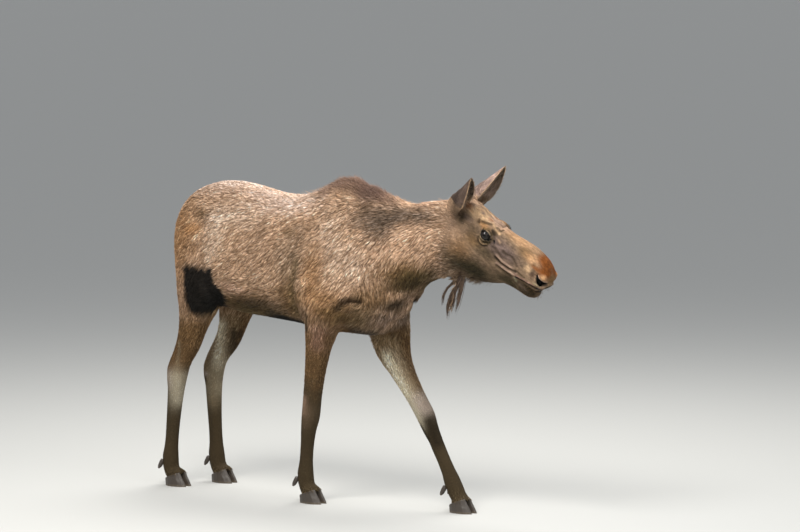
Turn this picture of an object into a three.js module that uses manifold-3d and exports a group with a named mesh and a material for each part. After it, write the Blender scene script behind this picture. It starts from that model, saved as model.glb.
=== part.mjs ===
import * as THREE from 'three';
import Module from 'manifold-3d';

const wasm = await Module();
wasm.setup();

// Driving dimensions, millimetres. The tables below are in 175ths of the height at the withers,
// x forward, y to the animal's left, z up, so one table unit is a centimetre in this animal.
const withersHeight = 1750;
const unit = withersHeight / 175;
const gap = 0.4;
const headPoll = [123.7, 4.0, 163.0];
const headYaw = THREE.MathUtils.degToRad(12);
const headPitch = THREE.MathUtils.degToRad(36);
const headRoll = THREE.MathUtils.degToRad(6);
const eyeDiameter = 5.5;
const hoofLength = 14.5;
const hoofWidth = 5.4;
const soleLevel = 0;
const elbowLevel = 86.0;
const stifleLevel = 89.5;
const fetlockPlace = 0.9;
const legRings = 25;
const legSides = 11;
const eyeHeight = -2.6;
const eyeReach = 19.7;
const eyeOut = 9.3;

const vec = (p) => new THREE.Vector3(p[0], p[1], p[2]);

// A table row at a fractional row number, by Catmull-Rom along every column.
function rowAt(table, t) {
  const last = table.length - 1;
  const i = Math.min(Math.floor(t), last - 1);
  const f = t - i;
  const row = (k) => table[Math.max(0, Math.min(last, k))];
  return table[0].map((_, c) => {
    const [p, q, r, s] = [row(i - 1)[c], row(i)[c], row(i + 1)[c], row(i + 2)[c]];
    return 0.5 * (2 * q + (r - p) * f + (2 * p - 5 * q + 4 * r - s) * f * f
      + (3 * q - p - 3 * r + s) * f * f * f);
  });
}

// One cross-section between an upper point and a lower point: y is its middle plane, wide its
// half-width, low above zero carries the widest place down, full under one squares its corners.
function section([ax, az, bx, bz, y, wide, low], sides, full) {
  const loop = [];
  for (let i = 0; i < sides; i++) {
    const turn = (2 * Math.PI * i) / sides;
    const up = Math.sign(Math.cos(turn)) * Math.abs(Math.cos(turn)) ** full;
    const out = Math.sign(Math.sin(turn)) * Math.abs(Math.sin(turn)) ** full;
    loop.push([(ax + bx) / 2 + ((ax - bx) / 2) * up,
      y + wide * out * (1 - low * up),
      (az + bz) / 2 + ((az - bz) / 2) * up]);
  }
  return loop;
}

// A closed solid through a list of loops with equal point counts, each end closed to its middle.
function solidThrough(loops, matrix = new THREE.Matrix4()) {
  const n = loops[0].length;
  const points = loops.flat();
  const middle = (loop) => [0, 1, 2].map((c) => loop.reduce((sum, p) => sum + p[c], 0) / n);
  const first = points.push(middle(loops[0])) - 1;
  const final = points.push(middle(loops[loops.length - 1])) - 1;
  const faces = [];
  for (let i = 0; i < n; i++) {
    const j = (i + 1) % n;
    faces.push([first, j, i]);
    for (let k = 0; k + 1 < loops.length; k++) {
      const [a, b, c, d] = [k * n + i, k * n + j, (k + 1) * n + i, (k + 1) * n + j];
      faces.push([a, b, d], [a, d, c]);
    }
    const base = (loops.length - 1) * n;
    faces.push([final, base + i, base + j]);
  }
  const placed = points.map((p) => vec(p).applyMatrix4(matrix).multiplyScalar(unit));
  const volume = faces.reduce((sum, [a, b, c]) =>
    sum + placed[a].dot(placed[b].clone().cross(placed[c])), 0);
  return new wasm.Manifold(new wasm.Mesh({
    numProp: 3,
    vertProperties: new Float32Array(placed.flatMap((p) => p.toArray())),
    triVerts: new Uint32Array(faces.flatMap((f) => (volume > 0 ? f : [f[0], f[2], f[1]]))),
  }));
}

function loft(table, rings, sides, full = 1, matrix) {
  const loops = [];
  for (let k = 0; k <= rings; k++) {
    loops.push(section(rowAt(table, (k / rings) * (table.length - 1)), sides, full));
  }
  return solidThrough(loops, matrix);
}

// A limb along its joints. Profile rows: place along the joints, reach forward of the bone line,
// reach behind it, half-width.
function limb(joints, profile, rings, sides) {
  const loops = [];
  for (let k = 0; k <= rings; k++) {
    const [place, fore, rear, wide] = rowAt(profile, (k / rings) * (profile.length - 1));
    const at = Math.max(0, Math.min(joints.length - 1, place));
    const [x, y, z] = rowAt(joints, at);
    const before = rowAt(joints, Math.max(0, at - 0.05));
    const after = rowAt(joints, Math.min(joints.length - 1, at + 0.05));
    const along = new THREE.Vector2(after[0] - before[0], after[2] - before[2]).normalize();
    const [nx, nz] = [-along.y, along.x];
    loops.push(section([x + nx * fore, z + nz * fore, x - nx * rear, z - nz * rear, y, wide, 0],
      sides, 0.92));
  }
  return solidThrough(loops);
}

function ellipsoid(middle, radii, grow = 0, matrix = new THREE.Matrix4(), rings = 6, sides = 8) {
  const loops = [];
  const size = radii.map((r) => r + grow / unit);
  for (let k = 1; k < rings; k++) {
    const lift = Math.PI * (k / rings);
    const loop = [];
    for (let i = 0; i < sides; i++) {
      const turn = (2 * Math.PI * i) / sides;
      loop.push([middle[0] + size[0] * Math.sin(lift) * Math.cos(turn),
        middle[1] - size[1] * Math.cos(lift),
        middle[2] + size[2] * Math.sin(lift) * Math.sin(turn)]);
    }
    loops.push(loop);
  }
  return solidThrough(loops, matrix);
}

// The part of a solid ahead of a plane, set back from the plane by half the gap.
function ahead(solid, point, normal) {
  const side = 600;
  const way = vec(normal).normalize();
  const box = new THREE.BoxGeometry(side, side, side);
  const turn = new THREE.Quaternion().setFromUnitVectors(new THREE.Vector3(0, 0, 1), way);
  const middle = vec(point).addScaledVector(way, side / 2 + gap / 2 / unit);
  const place = new THREE.Matrix4().compose(middle, turn, new THREE.Vector3(unit, unit, unit));
  place.setPosition(middle.multiplyScalar(unit));
  box.applyMatrix4(place);
  const corners = box.attributes.position;
  const index = [...box.index.array];
  const merged = new Map();
  const points = [];
  const remap = [...Array(corners.count).keys()].map((i) => {
    const p = [corners.getX(i), corners.getY(i), corners.getZ(i)];
    const key = p.map((v) => v.toFixed(3)).join();
    if (!merged.has(key)) merged.set(key, points.push(p) - 1);
    return merged.get(key);
  });
  return solid.intersect(new wasm.Manifold(new wasm.Mesh({
    numProp: 3,
    vertProperties: new Float32Array(points.flat()),
    triVerts: new Uint32Array(index.map((i) => remap[i])),
  })));
}
const behind = (solid, point, normal) => ahead(solid, point, normal.map((v) => -v));

// Trunk, from the rump to the point of the chest. Rows: upper x, upper z, lower x, lower z,
// middle plane, half-width, low.
const trunkRows = [
  [-70.8, 146.4, -70.2, 130.0, 0, 8.6, 0.0],
  [-68.8, 155.8, -66.8, 116.0, 0, 17.2, 0.0],
  [-61.0, 164.6, -57.5, 105.0, 0, 22.5, 0.06],
  [-45.0, 169.9, -43.0, 100.0, 0, 24.4, 0.12],
  [-25.0, 169.4, -24.0, 96.2, 0, 25.4, 0.16],
  [-3.0, 165.0, -2.0, 95.0, 0, 26.4, 0.16],
  [17.0, 165.2, 17.0, 93.6, 0, 25.6, 0.2],
  [36.0, 171.4, 35.0, 91.0, 0, 23.0, 0.34],
  [51.0, 174.8, 49.0, 90.6, 0, 21.5, 0.42],
  [64.0, 169.0, 62.5, 90.4, 0, 19.0, 0.36],
  [74.5, 150.0, 73.0, 94.0, 0, 16.0, 0.2],
  [79.5, 130.0, 79.0, 106.0, 0, 9.0, 0.0],
];

const neckRows = [
  [46.0, 173.5, 60.0, 104.0, 0.0, 18.0, 0.4],
  [58.0, 173.0, 74.0, 99.0, 0.0, 17.8, 0.35],
  [70.0, 169.3, 84.0, 104.0, 0.4, 16.0, 0.25],
  [80.0, 165.9, 90.0, 112.0, 1.0, 14.2, 0.15],
  [90.0, 163.8, 96.0, 119.0, 1.8, 12.8, 0.1],
  [100.0, 165.2, 104.0, 122.6, 2.6, 12.0, 0.08],
  [109.5, 166.4, 111.5, 123.8, 3.2, 11.8, 0.05],
  [119.0, 165.0, 119.5, 126.5, 3.8, 11.6, 0.0],
  [126.0, 159.0, 126.0, 131.0, 4.4, 8.0, 0.0],
];

// Head, in its own frame: x from the poll to the nose, z square to it, y to the left.
const skullRows = [
  [-7.0, -3.0, -6.0, -22.0, 0, 8.0, 0.0],
  [-2.0, 2.6, 0.0, -28.0, 0, 10.4, 0.0],
  [5.0, 4.4, 7.0, -32.2, 0, 11.2, -0.02],
  [13.0, 4.0, 14.5, -33.8, 0, 11.4, -0.06],
  [20.0, 3.7, 21.5, -33.2, 0, 10.8, -0.14],
  [27.0, 3.8, 28.5, -29.5, 0, 9.2, -0.1],
  [34.0, 5.0, 35.5, -24.7, 0, 7.9, -0.04],
  [41.0, 6.2, 41.8, -19.4, 0, 7.4, 0.0],
  [48.0, 6.0, 47.6, -13.2, 0, 8.2, 0.08],
  [54.6, 4.2, 54.0, -12.4, 0, 9.0, 0.12],
  [59.0, 0.0, 58.2, -11.4, 0, 8.2, 0.05],
  [60.7, -4.0, 60.2, -9.0, 0, 4.8, 0.0],
];

const chinRows = [
  [33.0, -12.0, 35.0, -23.0, 0, 5.0, 0.0],
  [41.0, -9.0, 43.0, -20.2, 0, 5.6, 0.0],
  [48.0, -9.5, 49.5, -19.0, 0, 5.4, 0.0],
  [54.0, -10.5, 55.2, -18.0, 0, 5.4, 0.0],
  [58.4, -12.2, 58.4, -15.8, 0, 3.4, 0.0],
];

const headFrame = new THREE.Matrix4().makeTranslation(...headPoll)
  .multiply(new THREE.Matrix4().makeRotationZ(headYaw))
  .multiply(new THREE.Matrix4().makeRotationY(headPitch))
  .multiply(new THREE.Matrix4().makeRotationX(headRoll));
const inHead = (p) => vec(p).applyMatrix4(headFrame).toArray();
const headAxis = (p) => vec(p).transformDirection(headFrame).toArray();

// Ears: a cupped leaf, side +1 the left ear. Rows: place along the ear, half-width, depth, wall,
// how far forward of the ear's middle line its edges stand.
const earRows = [
  [-0.16, 4.2, 9.0, 1.6, 3.0],
  [0.0, 5.0, 10.6, 1.2, 3.4],
  [0.22, 5.5, 10.2, 0.9, 3.8],
  [0.45, 5.4, 7.6, 0.8, 3.7],
  [0.7, 4.2, 4.8, 0.7, 2.7],
  [0.88, 2.4, 2.4, 0.5, 1.3],
  [1.0, 0.7, 0.6, 0.3, 0.3],
];

function earShape(side) {
  const root = vec([-2.2, 7.6 * side, -2.6]);
  const tip = vec(side > 0 ? [-0.6, 16.8, 22.4] : [-0.8, -16.3, 20.2]);
  const up = tip.clone().sub(root).normalize();
  const open = vec([1, -0.22 * side, 0]);
  open.addScaledVector(up, -open.dot(up)).normalize();
  const across = new THREE.Vector3().crossVectors(up, open);
  const loops = [];
  const rings = 9;
  const steps = 5;
  for (let k = 0; k <= rings; k++) {
    const [place, wide, deep, wall, fore] = rowAt(earRows, (k / rings) * (earRows.length - 1));
    const middle = root.clone().lerp(tip, place);
    const loop = [];
    for (const inner of [0, 1]) {
      for (let i = 0; i <= steps; i++) {
        const turn = Math.PI * (inner ? 1 - i / steps : i / steps);
        loop.push(middle.clone()
          .addScaledVector(across, (wide - inner * wall) * Math.cos(turn))
          .addScaledVector(open, fore - (deep - inner * wall) * Math.sin(turn)).toArray());
      }
    }
    loops.push(loop);
  }
  return { solid: solidThrough(loops, headFrame), up: up.toArray() };
}

// Legs: joints from the top of the shoulder blade or the hip to the coronet, a list for each leg.
const legJoints = {
  front_right: [[43, -7, 156], [52, -14.5, 122], [39.3, -15, 94], [29.1, -14, 47],
    [25.2, -13, 14.5], [28.6, -13, 5.2]],
  front_left: [[44, 7, 156], [55, 14.0, 120], [65.8, 13.0, 83], [87.5, 12, 48.5],
    [107.0, 12, 14.5], [111.5, 12, 5.2]],
  hind_right: [[-34, -11, 152], [-47, -14, 130], [-56.8, -14.5, 88], [-68.4, -13, 62],
    [-74.2, -13, 15], [-70.4, -13, 5.2]],
  hind_left: [[-34, 11, 152], [-46, 14, 130], [-53.6, 14.5, 88], [-65.2, 13, 62],
    [-63.6, 13, 15], [-59.8, 13, 5.2]],
};
const frontProfile = [
  [0.0, 7.0, 8.0, 3.0],
  [0.5, 11.0, 14.0, 5.5],
  [1.0, 13.0, 15.0, 9.0],
  [1.5, 14.0, 15.0, 10.6],
  [2.0, 9.4, 12.2, 8.2],
  [2.25, 7.0, 9.0, 6.0],
  [2.5, 6.1, 7.2, 5.0],
  [2.75, 5.7, 5.9, 4.6],
  [3.0, 6.0, 5.2, 4.9],
  [3.15, 4.9, 5.0, 4.3],
  [3.35, 4.1, 4.4, 3.6],
  [3.7, 3.9, 4.2, 3.5],
  [4.0, 4.5, 5.6, 4.5],
  [4.5, 4.4, 4.4, 4.5],
  [5.0, 6.0, 5.4, 5.6],
];
const hindProfile = [
  [0.0, 8.0, 10.0, 4.0],
  [0.6, 14.0, 19.0, 8.0],
  [1.0, 18.0, 21.0, 10.0],
  [1.5, 18.4, 14.2, 11.0],
  [1.8, 12.2, 10.6, 8.4],
  [2.0, 9.6, 8.8, 6.6],
  [2.35, 8.6, 7.5, 5.0],
  [2.7, 7.0, 7.1, 4.4],
  [3.0, 6.2, 8.4, 4.8],
  [3.2, 5.2, 5.6, 4.3],
  [3.5, 4.4, 4.6, 3.7],
  [3.8, 4.1, 4.4, 3.5],
  [4.0, 4.6, 5.8, 4.5],
  [4.5, 4.4, 4.4, 4.5],
  [5.0, 6.0, 5.4, 5.6],
];

// Foot, in x from the coronet joint: the coronet plane slopes down to the heel.
const coronetRise = [-0.22, 0, 1];
function hoof(middle, side) {
  const loops = [];
  const rows = [[soleLevel, 0, 1, 1], [3.0, -1.0, 0.9, 0.94], [8.5, -3.6, 0.66, 0.86]];
  for (const [z, back, long, wide] of rows) {
    const loop = [];
    for (let i = 0; i < 12; i++) {
      const turn = (2 * Math.PI * i) / 12;
      const fore = Math.cos(turn);
      const point = fore > 0 ? 1 - 0.5 * fore * fore : 1;
      loop.push([middle[0] + 2.2 + back + (hoofLength / 2) * long * fore,
        middle[1] + side * (hoofWidth / 2 + 0.25) + (hoofWidth / 2) * wide * point
          * Math.sin(turn) - side * 0.9 * Math.max(0, fore) ** 2,
        z]);
    }
    loops.push(loop);
  }
  return solidThrough(loops);
}
function dewclaw(fetlock, side, grow) {
  const [x, y, z] = fetlock;
  const top = [x - 4.2, y + side * 2.4, z - 1.2];
  return limb([top, [top[0] - 1.6, top[1] + side * 0.5, top[2] - 3.0],
    [top[0] - 2.6, top[1] + side * 0.7, top[2] - 5.0]],
  [[0, 1.5, 1.3, 1.2], [0.5, 1.7, 1.4, 1.3], [1.2, 1.5, 1.1, 1.2], [2, 0.6, 0.5, 0.6]]
    .map(([place, ...sizes]) => [place, ...sizes.map((v) => v + grow / unit)]), 3, 6);
}

const nodes = {};
let body = loft(trunkRows, 22, 20, 0.9).add(loft(neckRows, 11, 18, 0.95));

// Four legs: the top of each is one with the trunk, and each is cut at the elbow or stifle, above
// the knee or hock, and at the fetlock.
for (const [name, joints] of Object.entries(legJoints)) {
  const hind = name.startsWith('hind');
  const leg = limb(joints, hind ? hindProfile : frontProfile, legRings, legSides);
  const bone = (from, to) => joints[to].map((v, c) => joints[from][c] - v);
  const top = [joints[2][0], 0, hind ? stifleLevel : elbowLevel];
  const up = [0, 0, 1];
  const kneePoint = joints[3];
  const kneeUp = bone(2, 4);
  const fetlockPoint = joints[3].map((v, c) => v + (joints[4][c] - v) * fetlockPlace);
  const fetlockUp = bone(3, 4);
  const foot = joints[5];
  body = body.add(ahead(leg, top, up));
  nodes[name + '_upper'] = ahead(behind(leg, top, up), kneePoint, kneeUp);
  nodes[name + '_middle'] = ahead(behind(leg, kneePoint, kneeUp), fetlockPoint, fetlockUp);
  let lower = ahead(behind(leg, fetlockPoint, fetlockUp), foot, coronetRise);
  for (const [word, side] of [['outer', name.endsWith('left') ? 1 : -1],
    ['inner', name.endsWith('left') ? -1 : 1]]) {
    nodes[name + '_hoof_' + word] = behind(hoof(foot, side), foot, coronetRise);
    nodes[name + '_dewclaw_' + word] = dewclaw(joints[4], side, 0);
    lower = lower.subtract(dewclaw(joints[4], side, gap));
  }
  nodes[name + '_lower'] = lower;
}

// Tail, cut where it leaves the rump.
const tailShape = (grow) => limb(
  [[-64, 0, 156], [-70.5, 0, 151.5], [-73.6, 0, 145], [-74.2, 0, 137 - (2 * grow) / unit]],
  [[0, 2.0, 2.0, 3.0], [1, 1.9, 1.9, 3.4], [2, 1.6, 1.5, 3.2], [3, 0.5, 0.5, 1.2]]
    .map(([place, ...sizes]) => [place, ...sizes.map((v) => v + grow / unit)]), 10, 10);
const tailPoint = [-71.6, 0, 150.0];
const tailWay = [-0.66, 0, -0.75];
body = body.add(behind(tailShape(0), tailPoint, tailWay))
  .subtract(ahead(tailShape(2 * gap), tailPoint, tailWay));
nodes.tail = ahead(tailShape(0), tailPoint, tailWay);

// Head with its lower jaw, ears, eyes, mouth and nostrils.
body = body.add(loft(skullRows, 19, 18, 0.94, headFrame))
  .add(loft(chinRows, 8, 12, 0.92, headFrame));
for (const [word, side] of [['left', 1], ['right', -1]]) {
  const ear = earShape(side);
  const root = inHead([-0.2, 9.0 * side, 3.4]);
  const way = headAxis(ear.up);
  body = body.add(behind(ear.solid, root, way));
  nodes['ear_' + word] = ahead(ear.solid, root, way);
  const eyeAt = [eyeReach, eyeOut * side, eyeHeight];
  const ball = Array(3).fill(eyeDiameter / 2);
  // The brow round the eye, and the hollow of the nostril.
  body = body.add(ellipsoid([19.4, 8.0 * side, -2.2], [5.4, 2.9, 4.4], 0, headFrame));
  body = body.subtract(ellipsoid(eyeAt, ball, gap, headFrame, 8, 10));
  nodes['eye_' + word] = ellipsoid(eyeAt, ball, 0, headFrame, 8, 10);
  body = body.subtract(ellipsoid([58.8, 7.2 * side, -4.8], [2.4, 1.8, 1.4], 0, headFrame));
}

// The bell hangs from the throat.
const bell = limb([[118.0, 3.2, 130], [116.0, 3.1, 122], [113.5, 3.0, 114], [112, 3.0, 107]],
  [[0, 4.0, 3.6, 1.8], [1, 3.6, 3.2, 1.6], [2, 2.4, 2.4, 1.0], [3, 1.0, 1.0, 0.5]], 12, 10);
const bellPoint = [116.2, 3, 123.2];
const bellWay = [-0.15, 0, -1];
body = body.add(behind(bell, bellPoint, bellWay));
nodes.bell = ahead(bell, bellPoint, bellWay);

const neckCut = [[64, 0, 172], [0.95, 0, 0.312]];
const headCut = [[112, 0, 166], [0.97, 0.08, 0.2]];
nodes.trunk = behind(body, ...neckCut);
nodes.neck = behind(ahead(body, ...neckCut), ...headCut);
nodes.head = ahead(body, ...headCut);

const coat = (color) => ({ color, roughness: 0.95, metalness: 0 });
const looks = {
  head: coat(0x8a6f55), neck: coat(0x7d6a57), trunk: coat(0x8b7560), bell: coat(0x54463b),
  tail: coat(0x5a4a3c), ear: coat(0x6d5f55), eye: { color: 0x120c08, roughness: 0.08, metalness: 0 },
  upper: coat(0x6f5c4b), middle: coat(0x5b4c40), lower: coat(0x4a3d33),
  hoof: { color: 0x2b2622, roughness: 0.45, metalness: 0 },
  dewclaw: { color: 0x2b2622, roughness: 0.5, metalness: 0 },
};

// The origin is the middle of the animal's bounding box, on the floor.
const box = new THREE.Box3();
for (const solid of Object.values(nodes)) {
  const { min, max } = solid.boundingBox();
  box.union(new THREE.Box3(vec(min), vec(max)));
}
const origin = box.getCenter(new THREE.Vector3()).setZ(box.min.z);

const group = new THREE.Group();
group.name = 'moose';
for (const [name, solid] of Object.entries(nodes)) {
  const { vertProperties, triVerts, numProp } = solid.getMesh();
  const points = [];
  for (let i = 0; i < vertProperties.length; i += numProp) {
    points.push(vertProperties[i] - origin.x, vertProperties[i + 1] - origin.y,
      vertProperties[i + 2] - origin.z);
  }
  const geometry = new THREE.BufferGeometry();
  geometry.setAttribute('position', new THREE.Float32BufferAttribute(points, 3));
  geometry.setIndex([...triVerts]);
  geometry.computeVertexNormals();
  const kind = Object.keys(looks).find((word) => name.includes(word));
  const mesh = new THREE.Mesh(geometry, new THREE.MeshStandardMaterial(looks[kind]));
  mesh.name = name;
  group.add(mesh);
}

export default group;
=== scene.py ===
import math

import bmesh
import bpy
import numpy as np
from mathutils import Matrix, Vector
from mathutils.kdtree import KDTree


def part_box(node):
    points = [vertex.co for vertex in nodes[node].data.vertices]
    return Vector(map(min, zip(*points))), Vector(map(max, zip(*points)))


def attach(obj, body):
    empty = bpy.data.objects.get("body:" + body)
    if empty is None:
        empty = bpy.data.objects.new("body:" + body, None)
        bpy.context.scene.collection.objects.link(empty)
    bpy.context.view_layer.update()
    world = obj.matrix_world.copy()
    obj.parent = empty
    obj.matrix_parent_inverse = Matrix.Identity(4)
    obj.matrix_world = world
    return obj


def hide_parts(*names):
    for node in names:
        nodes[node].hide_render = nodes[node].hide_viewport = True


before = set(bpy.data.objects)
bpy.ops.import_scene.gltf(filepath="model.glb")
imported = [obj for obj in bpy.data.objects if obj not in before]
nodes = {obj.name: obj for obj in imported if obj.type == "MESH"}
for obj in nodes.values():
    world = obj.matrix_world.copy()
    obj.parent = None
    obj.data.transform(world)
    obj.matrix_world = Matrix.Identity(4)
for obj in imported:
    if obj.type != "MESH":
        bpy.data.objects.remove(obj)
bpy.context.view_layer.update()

scene = bpy.context.scene

# Metres, x forward, y to the animal's left, z up. The head has a frame of its own: x from the
# poll to the nose, z square to it, y to the left, and what both sides share has y outwards.
head = {"poll": (0.7921, 0.04, 1.63), "yaw": 12, "pitch": 36, "roll": 6}
headPlace = (
    Matrix.Translation(head["poll"])
    @ Matrix.Rotation(math.radians(head["yaw"]), 4, "Z")
    @ Matrix.Rotation(math.radians(head["pitch"]), 4, "Y")
    @ Matrix.Rotation(math.radians(head["roll"]), 4, "X")
)
headTurn = np.array(headPlace.to_3x3())
headPoll = np.array(head["poll"])

earRoot = np.array([-0.022, 0.076, -0.026])
earTips = {"left": np.array([-0.006, 0.168, 0.224]), "right": np.array([-0.008, 0.163, 0.202])}
earOpening = np.array([1.0, -0.22, 0.0])

# Each leg from elbow or stifle down: knee or hock, fetlock, coronet.
legs = {
    "front_right": [(-0.052, -0.15, 0.94), (-0.154, -0.14, 0.47), (-0.193, -0.13, 0.145),
                    (-0.159, -0.13, 0.05)],
    "front_left": [(0.213, 0.13, 0.83), (0.430, 0.12, 0.485), (0.625, 0.12, 0.145), (0.670, 0.12, 0.05)],
    "hind_right": [(-1.013, -0.145, 0.88), (-1.129, -0.13, 0.62), (-1.187, -0.13, 0.15),
                   (-1.149, -0.13, 0.05)],
    "hind_left": [(-0.981, 0.145, 0.88), (-1.097, 0.13, 0.62), (-1.081, 0.13, 0.15), (-1.043, 0.13, 0.05)],
}
eyes = {side: sum(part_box("eye_" + side), Vector()) / 2 for side in ("left", "right")}
eyeRadius = 0.0275


def intoHead(points):
    return (points - headPoll) @ headTurn


def fromHead(points):
    return points @ headTurn.T + headPoll


def smooth(low, high, value):
    t = np.clip((value - low) / (high - low), 0, 1)
    return t * t * (3 - 2 * t)


def unit(vectors):
    return vectors / np.maximum(np.linalg.norm(vectors, axis=-1, keepdims=True), 1e-9)


# Smooth random values from 0 to 1, one lattice cell every size metres.
def noise(points, size, seed=0):
    cells = np.floor(points / size)
    part = points / size - cells
    part = part * part * (3 - 2 * part)
    cells = cells.astype(np.int64)
    total = np.zeros(len(points))
    for corner in np.ndindex(2, 2, 2):
        x, y, z = (cells + corner).T
        key = (x * 73856093) ^ (y * 19349663) ^ (z * 83492791) ^ (seed * 15485863)
        key = (key ^ (key >> 13)) * 1274126177
        value = ((key ^ (key >> 16)) & 0xFFFF) / 65535
        share = np.prod(np.where(corner, part, 1 - part), axis=1)
        total += share * value
    return total


# Points as the left side has them: both sides in one (0), or one side only (1 or -1).
def mirrored(points, side):
    flipped = points.copy()
    if side == 0:
        flipped[:, 1] = np.abs(points[:, 1])
    else:
        flipped[:, 1] = points[:, 1] * side
    return flipped


# Distance from each point to a line through a few places, and how far along it, 0 to 1.
def alongPath(points, path):
    path = np.array(path, float)
    steps = np.linalg.norm(np.diff(path, axis=0), axis=1)
    starts = np.concatenate([[0], np.cumsum(steps)]) / steps.sum()
    best = np.full(len(points), np.inf)
    place = np.zeros(len(points))
    for i, step in enumerate(steps):
        way = path[i + 1] - path[i]
        t = np.clip((points - path[i]) @ way / step**2, 0, 1)
        away = np.linalg.norm(points - path[i] - t[:, None] * way, axis=1)
        nearer = away < best
        best[nearer] = away[nearer]
        place[nearer] = (starts[i] + t * (starts[i + 1] - starts[i]))[nearer]
    return best, place


# The same, caring less for how far out the points lie.
def besidePath(points, path, flat=0.35):
    return alongPath(points * (1, flat, 1), np.array(path) * (1, flat, 1))


def linear(tone):
    tone = np.array(tone, float) / 255
    return np.where(tone <= 0.04045, tone / 12.92, ((tone + 0.055) / 1.055) ** 2.4)


def readMesh(mesh):
    points = np.empty(len(mesh.vertices) * 3, np.float32)
    mesh.vertices.foreach_get("co", points)
    mesh.calc_loop_triangles()
    triangles = np.empty(len(mesh.loop_triangles) * 3, np.int32)
    mesh.loop_triangles.foreach_get("vertices", triangles)
    return points.reshape(-1, 3).astype(float), triangles.reshape(-1, 3)


def writeMesh(name, points, faces, material=None):
    mesh = bpy.data.meshes.new(name)
    count, sides = faces.shape
    mesh.vertices.add(len(points))
    mesh.vertices.foreach_set("co", points.astype(np.float32).ravel())
    mesh.loops.add(count * sides)
    mesh.loops.foreach_set("vertex_index", faces.astype(np.int32).ravel())
    mesh.polygons.add(count)
    mesh.polygons.foreach_set("loop_start", np.arange(0, count * sides, sides, dtype=np.int32))
    mesh.polygons.foreach_set("use_smooth", np.ones(count, bool))
    mesh.update(calc_edges=True)
    mesh.validate()
    piece = bpy.data.objects.new(name, mesh)
    scene.collection.objects.link(piece)
    if material:
        mesh.materials.append(material)
    return piece


def normalsOf(points, triangles):
    a, b, c = (points[triangles[:, i]] for i in range(3))
    face = np.cross(b - a, c - a)
    total = np.zeros_like(points)
    for axis in range(3):
        for corner in range(3):
            total[:, axis] += np.bincount(triangles[:, corner], face[:, axis], len(points))
    return unit(total)


# Every vertex's neighbours as one table, short rows filled up with the vertex itself.
def neighbourTable(triangles, count):
    ends = np.concatenate([triangles[:, pair] for pair in ([0, 1], [1, 2], [2, 0])]).astype(np.int64)
    keys = np.concatenate([ends[:, 0] * count + ends[:, 1], ends[:, 1] * count + ends[:, 0]])
    first, second = np.divmod(np.unique(keys), count)
    degree = np.bincount(first, minlength=count)
    start = np.concatenate([[0], np.cumsum(degree)[:-1]])
    table = np.repeat(np.arange(count)[:, None], min(degree.max(), 12), axis=1)
    slot = np.arange(len(first)) - start[first]
    fits = slot < table.shape[1]
    table[first[fits], slot[fits]] = second[fits]
    return table, np.minimum(degree, table.shape[1])


# Each vertex moves half way to the middle of its neighbours as many times as rounds says.
def relax(points, triangles, rounds):
    table, degree = neighbourTable(triangles, len(points))
    spare = table.shape[1] - degree
    for turn in range(int(rounds.max())):
        middle = (points[table].sum(axis=1) - spare[:, None] * points) / np.maximum(degree, 1)[:, None]
        share = 0.5 * np.clip(rounds - turn, 0, 1)
        points = points + share[:, None] * (middle - points)
    return points


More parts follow.
